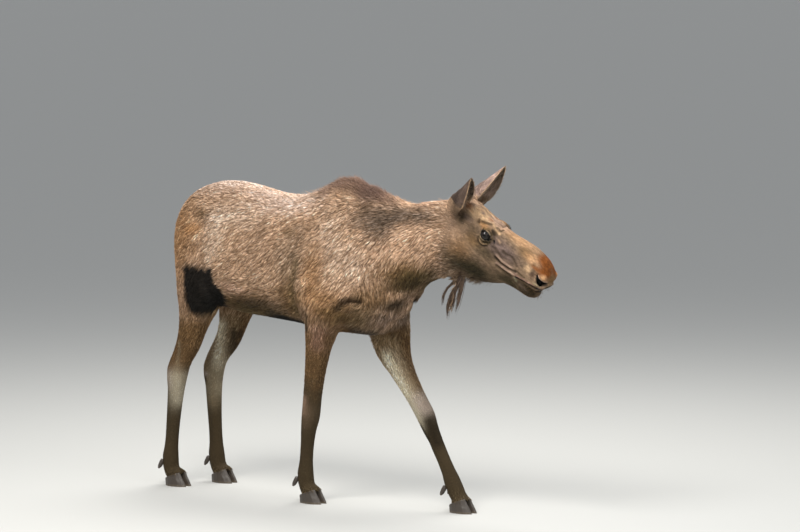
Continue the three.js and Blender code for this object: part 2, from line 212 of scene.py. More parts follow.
# Rows: place (forward, out, up), the way the hair runs, its length in mm, its rise in degrees.
bodyLie = [
    ((-1.06, 0.02, 1.66), (-1.0, 0.2, -0.35), 34, 13),
    ((-0.90, 0.03, 1.69), (-1.0, 0.2, 0.0), 34, 13),
    ((-0.60, 0.03, 1.67), (-1.0, 0.25, 0.0), 34, 13),
    ((-0.35, 0.03, 1.65), (-1.0, 0.3, -0.1), 36, 13),
    ((-1.17, 0.04, 1.50), (-0.4, 0.2, -1.0), 34, 12),
    ((-1.12, 0.15, 1.40), (-0.5, 0.1, -1.0), 34, 12),
    ((-0.98, 0.22, 1.50), (-0.9, 0.1, -0.8), 34, 12),
    ((-0.98, 0.22, 1.30), (-0.6, 0.0, -1.0), 34, 12),
    ((-1.00, 0.22, 1.10), (-0.3, 0.0, -1.0), 30, 12),
    ((-1.13, 0.12, 1.12), (-0.5, 0.0, -1.0), 42, 30),
    ((-1.10, 0.13, 0.98), (-0.4, 0.0, -1.0), 36, 24),
    ((-0.75, 0.22, 1.50), (-1.0, 0.1, -0.6), 36, 12),
    ((-0.70, 0.25, 1.35), (-0.8, 0.0, -0.7), 38, 12),
    ((-0.72, 0.24, 1.20), (-0.9, 0.0, -0.5), 42, 14),
    ((-0.74, 0.20, 1.06), (-1.0, 0.0, 0.05), 52, 17),
    ((-0.50, 0.25, 1.35), (-0.8, 0.0, -0.7), 38, 12),
    ((-0.50, 0.24, 1.12), (-0.9, 0.0, -0.4), 44, 14),
    ((-0.60, 0.12, 0.98), (-1.0, 0.1, -0.1), 46, 16),
    ((-0.30, 0.25, 1.50), (-0.9, 0.1, -0.7), 38, 12),
    ((-0.28, 0.26, 1.30), (-0.7, 0.0, -0.8), 38, 12),
    ((-0.30, 0.23, 1.08), (-0.9, 0.0, -0.4), 42, 14),
    ((-0.30, 0.08, 0.96), (-1.0, 0.1, -0.05), 40, 14),
    ((-0.12, 0.12, 1.67), (-0.9, 0.4, -0.3), 44, 15),
    ((-0.08, 0.18, 1.55), (-0.85, 0.1, -0.7), 40, 13),
    ((-0.02, 0.23, 1.38), (-0.65, 0.0, -0.85), 38, 13),
    ((-0.02, 0.24, 1.20), (-0.7, 0.0, -0.75), 38, 13),
    ((-0.08, 0.22, 1.05), (-0.5, 0.0, -0.9), 36, 14),
    ((0.12, 0.16, 1.60), (-0.8, 0.2, -0.7), 48, 15),
    ((0.14, 0.20, 1.40), (-0.6, 0.0, -0.85), 42, 13),
    ((0.14, 0.21, 1.20), (-0.55, 0.0, -0.85), 40, 13),
    ((0.18, 0.18, 1.04), (-0.7, 0.0, -0.6), 42, 16),
    ((0.05, 0.05, 0.95), (-1.0, 0.0, -0.15), 40, 16),
    ((0.30, 0.12, 1.18), (0.05, 0.1, -1.0), 46, 20),
    ((0.28, 0.08, 1.00), (-0.55, 0.1, -0.8), 46, 20),
    ((0.34, 0.02, 1.12), (-0.2, 0.3, -1.0), 46, 18),
    ((-0.06, 0.00, 1.735), (-0.9, 0.1, 0.10), 58, 20),
    ((0.05, 0.00, 1.745), (-0.8, 0.1, 0.3), 74, 28),
    ((0.14, 0.02, 1.73), (-0.7, 0.15, 0.4), 80, 30),
    ((0.26, 0.01, 1.69), (-0.8, 0.1, 0.3), 68, 26),
    ((0.40, 0.01, 1.655), (-0.9, 0.1, 0.2), 60, 24),
    ((0.55, 0.02, 1.645), (-1.0, 0.1, 0.1), 46, 18),
    ((0.24, 0.09, 1.62), (-0.85, 0.2, -0.5), 62, 16),
    ((0.42, 0.11, 1.56), (-0.9, 0.1, -0.45), 46, 14),
    ((0.60, 0.11, 1.56), (-0.9, 0.0, -0.4), 36, 13),
    ((0.36, 0.15, 1.42), (-0.65, 0.0, -0.8), 44, 14),
    ((0.54, 0.12, 1.42), (-0.75, 0.0, -0.7), 40, 14),
    ((0.38, 0.12, 1.28), (-0.45, 0.0, -1.0), 46, 15),
    ((0.56, 0.08, 1.26), (-0.5, 0.0, -0.9), 44, 16),
    ((0.64, 0.02, 1.22), (-0.6, 0.1, -0.8), 48, 20),
]
headLie = [
    ((-0.03, 0.03, 0.03), (-1.0, 0.1, 0.1), 30, 20),
    ((0.04, 0.02, 0.05), (-1.0, 0.15, 0.1), 20, 14),
    ((0.12, 0.02, 0.05), (-1.0, 0.2, 0.1), 14, 12),
    ((0.20, 0.02, 0.04), (-1.0, 0.2, 0.0), 10, 11),
    ((0.30, 0.02, 0.035), (-1.0, 0.1, 0.0), 8, 10),
    ((0.42, 0.02, 0.055), (-1.0, 0.1, 0.0), 8, 10),
    ((0.52, 0.02, 0.045), (-1.0, 0.3, 0.1), 7, 12),
    ((0.60, 0.02, -0.02), (-0.2, 0.5, 1.0), 5, 12),
    ((0.59, 0.07, -0.02), (-0.8, 0.5, 0.4), 5, 12),
    ((0.54, 0.09, -0.03), (-1.0, 0.1, 0.1), 6, 12),
    ((0.54, 0.08, -0.09), (-1.0, 0.0, -0.3), 6, 12),
    ((0.46, 0.08, -0.05), (-1.0, 0.0, -0.2), 7, 10),
    ((0.36, 0.08, -0.05), (-1.0, 0.0, -0.3), 8, 10),
    ((0.36, 0.08, -0.14), (-1.0, 0.0, -0.4), 11, 12),
    ((0.26, 0.10, -0.08), (-1.0, 0.0, -0.5), 9, 10),
    ((0.20, 0.10, 0.02), (-0.9, 0.2, 0.3), 7, 10),
    ((0.14, 0.11, -0.04), (-1.0, 0.0, -0.1), 9, 10),
    ((0.18, 0.11, -0.09), (-0.8, 0.0, -0.7), 9, 11),
    ((0.08, 0.11, -0.10), (-1.0, 0.0, -0.5), 18, 12),
    ((0.02, 0.10, -0.06), (-1.0, 0.1, -0.3), 20, 14),
    ((0.22, 0.10, -0.20), (-0.9, 0.0, -0.7), 18, 13),
    ((0.12, 0.11, -0.22), (-0.8, 0.0, -0.8), 26, 14),
    ((0.14, 0.04, -0.33), (-0.8, 0.0, -0.7), 44, 24),
    ((0.26, 0.03, -0.29), (-0.9, 0.0, -0.5), 24, 18),
    ((0.36, 0.03, -0.235), (-1.0, 0.0, -0.3), 16, 14),
    ((0.46, 0.04, -0.20), (-1.0, 0.0, -0.3), 12, 14),
    ((0.55, 0.04, -0.17), (-0.8, 0.1, -0.5), 9, 16),
]
legCoat = {"length": (26, 15, 12, 26), "rise": (12, 10, 9, 14)}
earCoat = {"length": 13, "rise": 10}
tailLie = ((-1.19, 0.0, 1.43), (-0.15, 0.0, -1.0), 46, 16)


def lieTable():
    rows = []
    for place, way, length, rise in bodyLie:
        for side in (1, -1):
            flip = np.array([1, side, 1])
            rows.append((np.array(place) * flip, np.array(way) * flip, length, rise))
    for place, way, length, rise in headLie:
        for side in (1, -1):
            flip = np.array([1, side, 1])
            rows.append((fromHead(np.array(place) * flip), headTurn @ (np.array(way) * flip), length, rise))
    for joints in legs.values():
        joints = np.array(joints)
        for i, joint in enumerate(joints):
            way = unit(joints[min(i + 1, 3)] - joints[min(i, 2)])
            rows.append((joint, way + (-0.15, 0, 0), legCoat["length"][i], legCoat["rise"][i]))
            if i < 3:
                middle = (joint + joints[i + 1]) / 2
                size = [(legCoat[key][i] + legCoat[key][i + 1]) / 2 for key in ("length", "rise")]
                rows.append((middle, way + (-0.1, 0, 0), *size))
    for word, side in (("left", 1), ("right", -1)):
        flip = np.array([1, side, 1])
        for share in (0.2, 0.4, 0.6, 0.8, 1.0):
            place = earRoot + (earTips[word] - earRoot) * share
            way = unit(earTips[word] - earRoot)
            rows.append((fromHead(place * flip), headTurn @ (way * flip),
                         earCoat["length"], earCoat["rise"]))
    place, way, length, rise = tailLie
    rows.append((np.array(place), np.array(way), length, rise))
    places = np.array([row[0] for row in rows])
    ways = unit(np.array([row[1] for row in rows]))
    return places, ways, np.array([row[2] / 1000 for row in rows]), np.radians([row[3] for row in rows])


liePlaces, lieWays, lieLengths, lieRises = lieTable()


# The way the hair runs, its length and its rise at each point, blended from the rows nearby.
def coatAt(points, nearness=0.04):
    ways = np.empty((len(points), 3))
    lengths = np.empty(len(points))
    rises = np.empty(len(points))
    for start in range(0, len(points), 20000):
        block = slice(start, start + 20000)
        away = ((points[block, None, :] - liePlaces[None]) ** 2).sum(axis=2)
        share = 1 / (away + nearness**2) ** 2.5
        share /= share.sum(axis=1, keepdims=True)
        ways[block] = share @ lieWays
        lengths[block] = share @ lieLengths
        rises[block] = share @ lieRises
    return unit(ways), lengths, rises


skinMake = {"voxel": 0.0045, "grow": 0.0006, "keep": 0.167}
flesh = [name for name in nodes if not any(word in name for word in ("hoof", "dewclaw", "eye"))]


def remeshed(names, voxel, grow):
    work = bmesh.new()
    for name in names:
        work.from_mesh(nodes[name].data)
    bmesh.ops.remove_doubles(work, verts=work.verts, dist=1e-5)
    work.normal_update()
    for vertex in work.verts:
        vertex.co += vertex.normal * grow
    mesh = bpy.data.meshes.new("fleshWork")
    work.to_mesh(mesh)
    work.free()
    piece = bpy.data.objects.new("fleshWork", mesh)
    scene.collection.objects.link(piece)
    remesh = piece.modifiers.new("remesh", "REMESH")
    remesh.mode = "VOXEL"
    remesh.voxel_size = voxel
    return bakedMesh(piece)


# The evaluated mesh of a work piece, which is then removed.
def bakedMesh(piece):
    graph = bpy.context.evaluated_depsgraph_get()
    mesh = bpy.data.meshes.new_from_object(piece.evaluated_get(graph))
    bpy.data.objects.remove(piece)
    return mesh


# The outer shell only: the part of the mesh that hangs together with its first vertex at the back.
def outerShell(points, triangles):
    table, _ = neighbourTable(triangles, len(points))
    reached = np.zeros(len(points), bool)
    front = np.array([points[:, 0].argmin()])
    reached[front] = True
    while len(front):
        front = np.unique(table[front])
        front = front[~reached[front]]
        reached[front] = True
    index = np.cumsum(reached) - 1
    kept = triangles[reached[triangles].all(axis=1)]
    return points[reached], index[kept]


# Fewer triangles where the mask is 1, all of them kept where it is 0.
def thinned(points, triangles, mask, ratio):
    piece = writeMesh("thinWork", points, triangles)
    group = piece.vertex_groups.new(name="thin")
    group.add(np.nonzero(mask > 0.5)[0].tolist(), 1.0, "REPLACE")
    thin = piece.modifiers.new("thin", "DECIMATE")
    thin.ratio = ratio
    thin.vertex_group = "thin"
    return readMesh(bakedMesh(piece))


# The triangles in a mask are split in four, and their neighbours to match.
def refined(points, triangles, mask):
    work = bmesh.new()
    piece = writeMesh("refineWork", points, triangles)
    work.from_mesh(piece.data)
    bpy.data.objects.remove(piece)
    work.verts.ensure_lookup_table()
    edges = [edge for edge in work.edges if mask[edge.verts[0].index] and mask[edge.verts[1].index]]
    bmesh.ops.subdivide_edges(work, edges=edges, cuts=1, use_grid_fill=True)
    bmesh.ops.triangulate(work, faces=work.faces)
    mesh = bpy.data.meshes.new("refined")
    work.to_mesh(mesh)
    work.free()
    return readMesh(mesh)


# How far the head reaches back into the neck, as a share from 0 to 1.
def headShare(points):
    local = intoHead(points)
    return smooth(-0.05, 0.03, local[:, 0] + 0.2 * local[:, 2]) * smooth(0.95, 1.05, points[:, 2])


# Where each point is along its ear, how far it faces the opening, and which ear; share 0 off them.
def earPlace(points, normals):
    local = intoHead(points)
    facing = normals @ headTurn
    along = np.full(len(points), -1.0)
    inside = np.zeros(len(points))
    for word, side in (("left", 1), ("right", -1)):
        flip = np.array([1, side, 1])
        root, tip = earRoot * flip, earTips[word] * flip
        way = tip - root
        length = np.linalg.norm(way)
        way = way / length
        opening = earOpening * flip
        opening = unit(opening - (opening @ way) * way)
        place = (local - root) @ way / length
        away = np.linalg.norm(local - root - np.clip(place, 0, 1)[:, None] * way * length, axis=1)
        here = (away < 0.085) & (place > 0.12) & (local[:, 2] > 0.02)
        along[here] = place[here]
        inside[here] = smooth(0.05, 0.45, facing[here] @ opening)
    return along, inside


print("skin: union of the flesh nodes")
solids = flesh + ["eye_left", "eye_right"]
skinPoints, skinFaces = readMesh(remeshed(solids, skinMake["voxel"], skinMake["grow"]))
skinPoints, skinFaces = outerShell(skinPoints, skinFaces)
earAlong, _ = earPlace(skinPoints, normalsOf(skinPoints, skinFaces))
onHead = headShare(skinPoints)
skinPoints = relax(skinPoints, skinFaces, np.where(earAlong > 0.1, 4, 8 + 6 * onHead))
print("skin:", len(skinFaces), "triangles before thinning")
local = mirrored(intoHead(skinPoints), 0)
fine = (local[:, 0] > 0.10) | (np.linalg.norm(local - earRoot, axis=1) < 0.06) | (local[:, 2] > 0.05)
fine &= headShare(skinPoints) > 0.9
skinPoints, skinFaces = thinned(skinPoints, skinFaces, ~fine, skinMake["keep"])
onHead = headShare(skinPoints)
lowLeg = smooth(1.0, 0.8, skinPoints[:, 2]) * (skinPoints[:, 0] < 0.72)
foot = smooth(0.16, 0.10, skinPoints[:, 2])
skinPoints = relax(skinPoints, skinFaces, (16 - 11 * lowLeg) * (1 - foot) * (onHead < 0.02))
print("skin:", len(skinFaces), "triangles after thinning")

# Coat depth: the skin lies inside the outline by what the hair stands up to.
skinNormals = normalsOf(skinPoints, skinFaces)
_, lengths, rises = coatAt(skinPoints)
depth = lengths * np.sin(rises) * 1.05 + 0.0006
depth *= 1 - 0.6 * smooth(0.12, 0.08, skinPoints[:, 2])
earAlong, _ = earPlace(skinPoints, skinNormals)
depth = np.where(earAlong > 0.1, 0.0012, depth)
skinPoints = skinPoints - skinNormals * depth[:, None]

# The bell's core is thin: its bulk is hair.
bell = {"top": (0.716, 0.031, 1.236), "tip": (0.672, 0.031, 1.068), "thin": 0.82}
away, along = alongPath(skinPoints, [bell["top"], bell["tip"]])
onBell = (away < 0.06) * smooth(1.245, 1.215, skinPoints[:, 2])
axis = np.array(bell["top"]) + along[:, None] * (np.array(bell["tip"]) - bell["top"])
skinPoints += (axis - skinPoints) * (onBell * bell["thin"])[:, None]

# Forms of the body. Rows: place (forward, out, up), radii, height in mm, side (0 both).
bodyForms = [
    ((0.02, 0.24, 1.32), (0.16, 0.14, 0.24), 7, 0),
    ((-0.10, 0.22, 1.06), (0.07, 0.10, 0.08), 9, -1),
    ((0.06, 0.20, 1.02), (0.10, 0.10, 0.06), 5, -1),
    ((-0.21, 0.22, 1.28), (0.045, 0.12, 0.26), -7, 0),
    ((-0.88, 0.22, 1.32), (0.05, 0.14, 0.16), -8, 0),
    ((-0.80, 0.20, 1.53), (0.09, 0.10, 0.06), 7, 0),
    ((-0.72, 0.25, 1.24), (0.10, 0.12, 0.12), 5, 0),
    ((-1.02, 0.20, 1.48), (0.08, 0.10, 0.08), -5, 0),
    ((-1.06, 0.18, 1.28), (0.10, 0.12, 0.14), 6, 0),
    ((0.30, 0.08, 0.99), (0.09, 0.09, 0.06), 14, 0),
    ((0.33, 0.10, 1.08), (0.06, 0.09, 0.03), -9, 0),
    ((0.46, 0.13, 1.50), (0.24, 0.08, 0.05), 5, 0),
    ((0.44, 0.13, 1.38), (0.22, 0.08, 0.03), -5, 0),
    ((0.42, 0.11, 1.27), (0.20, 0.08, 0.05), 4, 0),
]
# Creases. Rows: path, width and depth in mm, side (0 both).
bodyCreases = [
    ([(0.105, 0.235, 1.062), (0.135, 0.225, 1.094), (0.165, 0.212, 1.108),
      (0.222, 0.190, 1.110)], 17, 20, -1),
    ([(0.355, 0.11, 1.062), (0.385, 0.095, 1.088), (0.415, 0.08, 1.106), (0.455, 0.04, 1.135)], 18, 20, 0),
    ([(-0.17, 0.24, 1.30), (-0.20, 0.23, 1.15), (-0.20, 0.20, 1.02)], 20, 9, 0),
    ([(-0.72, 0.23, 1.12), (-0.80, 0.21, 1.04), (-0.86, 0.18, 0.99)], 16, 9, 0),
    ([(-0.82, 0.23, 1.42), (-0.86, 0.23, 1.30), (-0.83, 0.24, 1.20)], 24, 6, 0),
]


def applyForms(points, normals, forms, creases):
    lift = np.zeros(len(points))
    for place, radii, height, side in forms:
        away = (((mirrored(points, side) - place) / radii) ** 2).sum(axis=1)
        lift += height / 1000 * np.exp(-away)
    for path, width, deep, side in creases:
        away, along = besidePath(mirrored(points, side), path)
        ends = np.sqrt(np.clip(np.sin(np.pi * np.clip(0.06 + 0.88 * along, 0, 1)), 0, 1))
        away = away / (width / 1000)
        lift += deep / 1000 * ends * (0.45 * np.exp(-((away - 1.6) ** 2)) - np.exp(-(away**2)))
    return points + normals * lift[:, None]


skinNormals = normalsOf(skinPoints, skinFaces)
skinPoints = applyForms(skinPoints, skinNormals, bodyForms, bodyCreases)

# Tendon grooves down the legs, on both faces of each.
for name, joints in legs.items():
    joints = np.array(joints)
    flat = np.array([1, 0, 1])
    away = alongPath(skinPoints, joints)[0]
    near = (away < 0.12) * smooth(0.86, 0.78, skinPoints[:, 2])
    cannon = [joints[1] + (-0.018, 0, -0.07), joints[2] + (-0.016, 0, 0.05)]
    grooves = [(cannon, 0.006, 0.0035)]
    if name.startswith("hind"):
        grooves.append(([joints[0] + (-0.055, 0, -0.06), joints[1] + (-0.012, 0, 0.07)], 0.014, 0.009))
    for path, width, deep in grooves:
        away, along = alongPath(skinPoints * flat, np.array(path) * flat)
        ends = np.clip(np.sin(np.pi * np.clip(0.04 + 0.92 * along, 0, 1)), 0, 1) ** 0.5
        dip = deep * ends * near * np.exp(-((away / width) ** 2))
        skinPoints = skinPoints - skinNormals * dip[:, None]

# Face features, in the head's frame with y outwards.
eyeMiddle = intoHead(np.array([eyes["left"]]))[0]
gaze = unit(np.array([0.24, 1.0, 0.10]))
slitWay = np.array([1.0, 0.0, -0.30])
slitWay = unit(slitWay - (slitWay @ gaze) * gaze)
slitUp = unit(np.cross(slitWay, gaze))
slitUp = slitUp * np.sign(slitUp[2])
lids = {"half": 0.0250, "upper": 0.0186, "lower": 0.0164, "thick": 0.0036, "reach": 0.015, "margin": 0.0056}
nostrilPath = [(0.546, 0.083, -0.019), (0.558, 0.084, -0.031), (0.572, 0.082, -0.042),
               (0.588, 0.074, -0.049), (0.602, 0.058, -0.047)]
mouthPath = [(0.446, 0.065, -0.115), (0.473, 0.063, -0.112), (0.509, 0.071, -0.099), (0.549, 0.081, -0.088),
             (0.579, 0.072, -0.087), (0.596, 0.040, -0.095), (0.600, 0.0, -0.098)]
bags = {"crease": [(0.205, 0.103, -0.064), (0.222, 0.099, -0.056), (0.234, 0.092, -0.044)],
        "rim": [(0.176, 0.104, -0.050), (0.182, 0.104, -0.062), (0.194, 0.105, -0.073),
                (0.212, 0.103, -0.074), (0.228, 0.098, -0.061)],
        "under": [(0.168, 0.104, -0.058), (0.178, 0.104, -0.073), (0.196, 0.104, -0.083),
                  (0.216, 0.101, -0.082), (0.234, 0.094, -0.068)],
        "tear": [(0.248, 0.083, -0.027), (0.256, 0.081, -0.035)]}
browLines = {"spot": [(0.111, 0.080, 0.006), (0.121, 0.081, -0.004)],
             "dark": [(0.132, 0.073, 0.009), (0.157, 0.066, 0.014), (0.182, 0.053, 0.022)],
             "pale": [(0.178, 0.049, 0.027), (0.201, 0.055, 0.020), (0.221, 0.057, 0.014),
                      (0.246, 0.052, 0.010)],
             "upper": [(0.186, 0.028, 0.033), (0.207, 0.017, 0.034), (0.226, 0.008, 0.033)],
             "short": [(0.212, 0.046, 0.024), (0.230, 0.046, 0.019)],
             "front": [(0.238, 0.043, 0.020), (0.243, 0.026, 0.026)]}
cheekLines = {"tear": [(0.262, 0.084, -0.052), (0.300, 0.080, -0.062), (0.333, 0.078, -0.078)],
              "high": [(0.318, 0.077, -0.042), (0.333, 0.075, -0.046), (0.363, 0.072, -0.041),
                       (0.389, 0.071, -0.046), (0.420, 0.074, -0.062)],
              "fold": [(0.300, 0.084, -0.092), (0.340, 0.078, -0.104), (0.371, 0.075, -0.103),
                       (0.399, 0.073, -0.099), (0.432, 0.073, -0.090)],
              "low": [(0.330, 0.078, -0.126), (0.377, 0.072, -0.128), (0.420, 0.066, -0.128)],
              "lip": [(0.428, 0.073, -0.082), (0.462, 0.078, -0.082), (0.494, 0.082, -0.076)]}

faceForms = [
    ((0.160, 0.088, 0.006), (0.036, 0.03, 0.014), 4, 0),
    ((0.224, 0.074, 0.004), (0.026, 0.03, 0.018), -8, 0),
    ((0.270, 0.072, 0.000), (0.030, 0.03, 0.018), 3, 0),
    ((0.112, 0.100, -0.040), (0.028, 0.03, 0.030), -6, 0),
    ((0.290, 0.085, -0.060), (0.060, 0.03, 0.018), 5, 0),
    ((0.400, 0.075, -0.045), (0.050, 0.03, 0.026), -4, 0),
    ((0.480, 0.070, 0.012), (0.030, 0.03, 0.020), 5, 0),
    ((0.522, 0.085, -0.030), (0.020, 0.02, 0.022), -6, 0),
    ((0.578, 0.066, -0.017), (0.024, 0.022, 0.014), 9, 0),
    ((0.572, 0.085, -0.068), (0.030, 0.03, 0.012), 5, 0),
    ((0.500, 0.080, -0.082), (0.050, 0.03, 0.010), 4, 0),
    ((0.530, 0.050, -0.130), (0.045, 0.03, 0.016), 4, 0),
    ((0.470, 0.055, -0.140), (0.014, 0.03, 0.012), -4, 0),
    ((0.140, 0.105, -0.170), (0.090, 0.05, 0.070), 6, 0),
    ((0.300, 0.080, -0.180), (0.100, 0.05, 0.022), -5, 0),
    ((0.150, 0.000, 0.045), (0.050, 0.018, 0.03), -6, 0),
    ((0.390, 0.076, -0.114), (0.040, 0.02, 0.007), 4, 0),
]
faceCreases = [
    (browLines["spot"], 5, 7, 0),
    (browLines["dark"], 4, 6, 0),
    (browLines["pale"], 5, -3.5, 0),
    (browLines["upper"], 4, 4.5, 0),
    (browLines["short"], 4, 3.5, 0),
    (browLines["front"], 4, 3.5, 0),
    (cheekLines["tear"], 6, 3, 0),
    (cheekLines["high"], 7, 5, 0),
    (cheekLines["fold"], 7, 8, 0),
    (cheekLines["low"], 8, 5, 0),
    (cheekLines["lip"], 5, 4, 0),
    (bags["crease"], 4, 3, 0),
    (bags["rim"], 5, -2.5, 0),
    (bags["under"], 5, 5, 0),
    (bags["tear"], 3.5, 4, 0),
]


# How far outside the almond opening of the lids a point lies, and whether it is on the upper lid.
def pastLids(local):
    offset = local - eyeMiddle
    u, v = offset @ slitWay, offset @ slitUp
    span = np.clip(1 - (u / lids["half"]) ** 2, 0, 1)
    edge = np.where(v > 0, lids["upper"] * span**0.55, lids["lower"] * span**0.65)
    past = np.maximum(np.abs(v) - edge, np.abs(u) - lids["half"])
    return np.where(offset @ gaze > 0, past, 1.0), v > 0


def ridge(value, place, width):
    return np.exp(-(((value - place) / width) ** 2))


# The lids close over the eyeball, and the skin goes behind the ball inside the opening.
def closeLids(local):
    offset = local - eyeMiddle
    away = np.linalg.norm(offset, axis=1)
    past, upper = pastLids(local)
    near = (away < 0.062) & (past < 0.04)
    cover = smooth(-0.0010, 0.0006, past)
    fade = smooth(lids["reach"], 0.003, past)
    rim = 0.0012 * ridge(past, 0.0022, 0.0016)
    wanted = eyeRadius + lids["thick"] + rim
    lidRadius = away + (wanted - away) * fade * np.where(away < wanted, 1.0, 0.7)
    lidRadius -= np.where(upper, 0.0026 * ridge(past, 0.0092, 0.0017), 0.0016 * ridge(past, 0.0070, 0.0015))
    lidRadius += np.where(upper, 0.0016 * ridge(past, 0.0130, 0.0030), 0.0026 * ridge(past, 0.0120, 0.0040))
    lidRadius -= 0.0026 * ridge(past, 0.0185, 0.0022) * ~upper
    behind = eyeRadius - 0.005
    radius = behind + (np.maximum(lidRadius, eyeRadius + 0.0016) - behind) * cover
    radius = np.where(near, radius, away)
    return eyeMiddle + offset * (radius / np.maximum(away, 1e-9))[:, None]


def nostrilWidth(along):
    return 0.0048 + 0.0080 * smooth(0.0, 0.6, along)


def mouthWidth(along):
    return 0.0045 + 0.0075 * smooth(0.45, 0.85, along)


# The bare, dark skin of nostrils, mouth and tear marks, from points not yet shaped.
def bareShare(local):
    away, along = besidePath(local, nostrilPath)
    bare = smooth(1.15, 0.85, away / nostrilWidth(along))
    away, along = besidePath(local, mouthPath)
    bare = np.maximum(bare, smooth(1.30, 0.90, away / mouthWidth(along)))
    away, _ = besidePath(local, bags["tear"])
    return np.maximum(bare, smooth(0.0050, 0.0030, away))


def sculptFace(points, triangles):
    local = intoHead(points)
    facing = normalsOf(points, triangles) @ headTurn
    side = np.where(local[:, 1] < 0, -1.0, 1.0)
    flip = np.stack([np.ones_like(side), side, np.ones_like(side)], axis=1)
    onHead = headShare(points)
    shaped = applyForms(local * flip, facing * flip, faceForms, faceCreases)
    bare = bareShare(local * flip) * onHead
    # Nostril: a comma that widens forwards, deep at its front end, under a full upper edge.
    away, along = besidePath(local * flip, nostrilPath)
    hollow = np.exp(-((away / nostrilWidth(along)) ** 4)) * (0.008 + 0.020 * smooth(0.1, 0.6, along))
    flare = 0.0035 * np.exp(-(((away - 0.015) / 0.004) ** 2))
    shaped += facing * flip * (flare - hollow)[:, None]
    # Mouth line, with the upper lip standing over it.
    away, along = besidePath(local * flip, mouthPath)
    fade = smooth(0.0, 0.10, along)
    above = local[:, 2] > 0.125 * local[:, 0] - 0.170
    hollow = np.exp(-((away / mouthWidth(along)) ** 2)) * (0.011 + 0.009 * smooth(0.45, 0.8, along)) * fade
    roll = 0.0028 * np.exp(-(((away - 0.012) / 0.005) ** 2)) * fade * np.where(above, 1.0, 0.4)
    shaped += facing * flip * (roll - hollow)[:, None]
    shaped = closeLids(shaped)
    moved = fromHead(shaped * flip)
    return points + (moved - points) * onHead[:, None], bare


for eyeReach, nostrilReach, mouthReach in ((0.040, 0.016, 0.010), (0.033, 0.013, 0.007), (0.030, 0, 0)):
    local = mirrored(intoHead(skinPoints), 0)
    nearEye = (np.linalg.norm(local - eyeMiddle, axis=1) < eyeReach) & (pastLids(local)[0] > -0.004)
    nearNostril = alongPath(local, nostrilPath)[0] < nostrilReach
    nearMouth = alongPath(local, mouthPath)[0] < mouthReach
    skinPoints, skinFaces = refined(skinPoints, skinFaces, nearEye | nearNostril | nearMouth)
skinPoints, skinBare = sculptFace(skinPoints, skinFaces)
skinNormals = normalsOf(skinPoints, skinFaces)
print("skin:", len(skinFaces), "triangles in all")

# The coat's colours, as red, green and blue from 0 to 255. The near-black tone is the bare skin's own colour
# and also the colour of painted shadows.
tones = {
    "tan": (178, 146, 118), "pale": (208, 180, 156), "ochre": (166, 126, 86), "umber": (114, 85, 50),
    "mauve": (112, 86, 74), "slate": (96, 80, 66), "sand": (208, 172, 142), "dusk": (70, 59, 36),
    "bone": (230, 217, 188), "ash": (160, 142, 112), "blackSkinAndShade": (8, 8, 6), "cream": (234, 194, 150),
    "clay": (134, 74, 24), "sage": (176, 172, 140), "moss": (50, 45, 26), "plum": (70, 48, 38),
    "shell": (222, 186, 162), "peach": (218, 168, 120), "grape": (112, 94, 86), "lilac": (132, 112, 104),
    "blush": (196, 160, 136), "bark": (50, 40, 24), "fawn": (140, 116, 92), "olive": (84, 69, 38),
    "pitch": (18, 14, 9), "pink": (176, 138, 122), "cloud": (200, 182, 168), "lavender": (206, 180, 162),
    "gold": (186, 136, 84), "coal": (33, 27, 16),
}
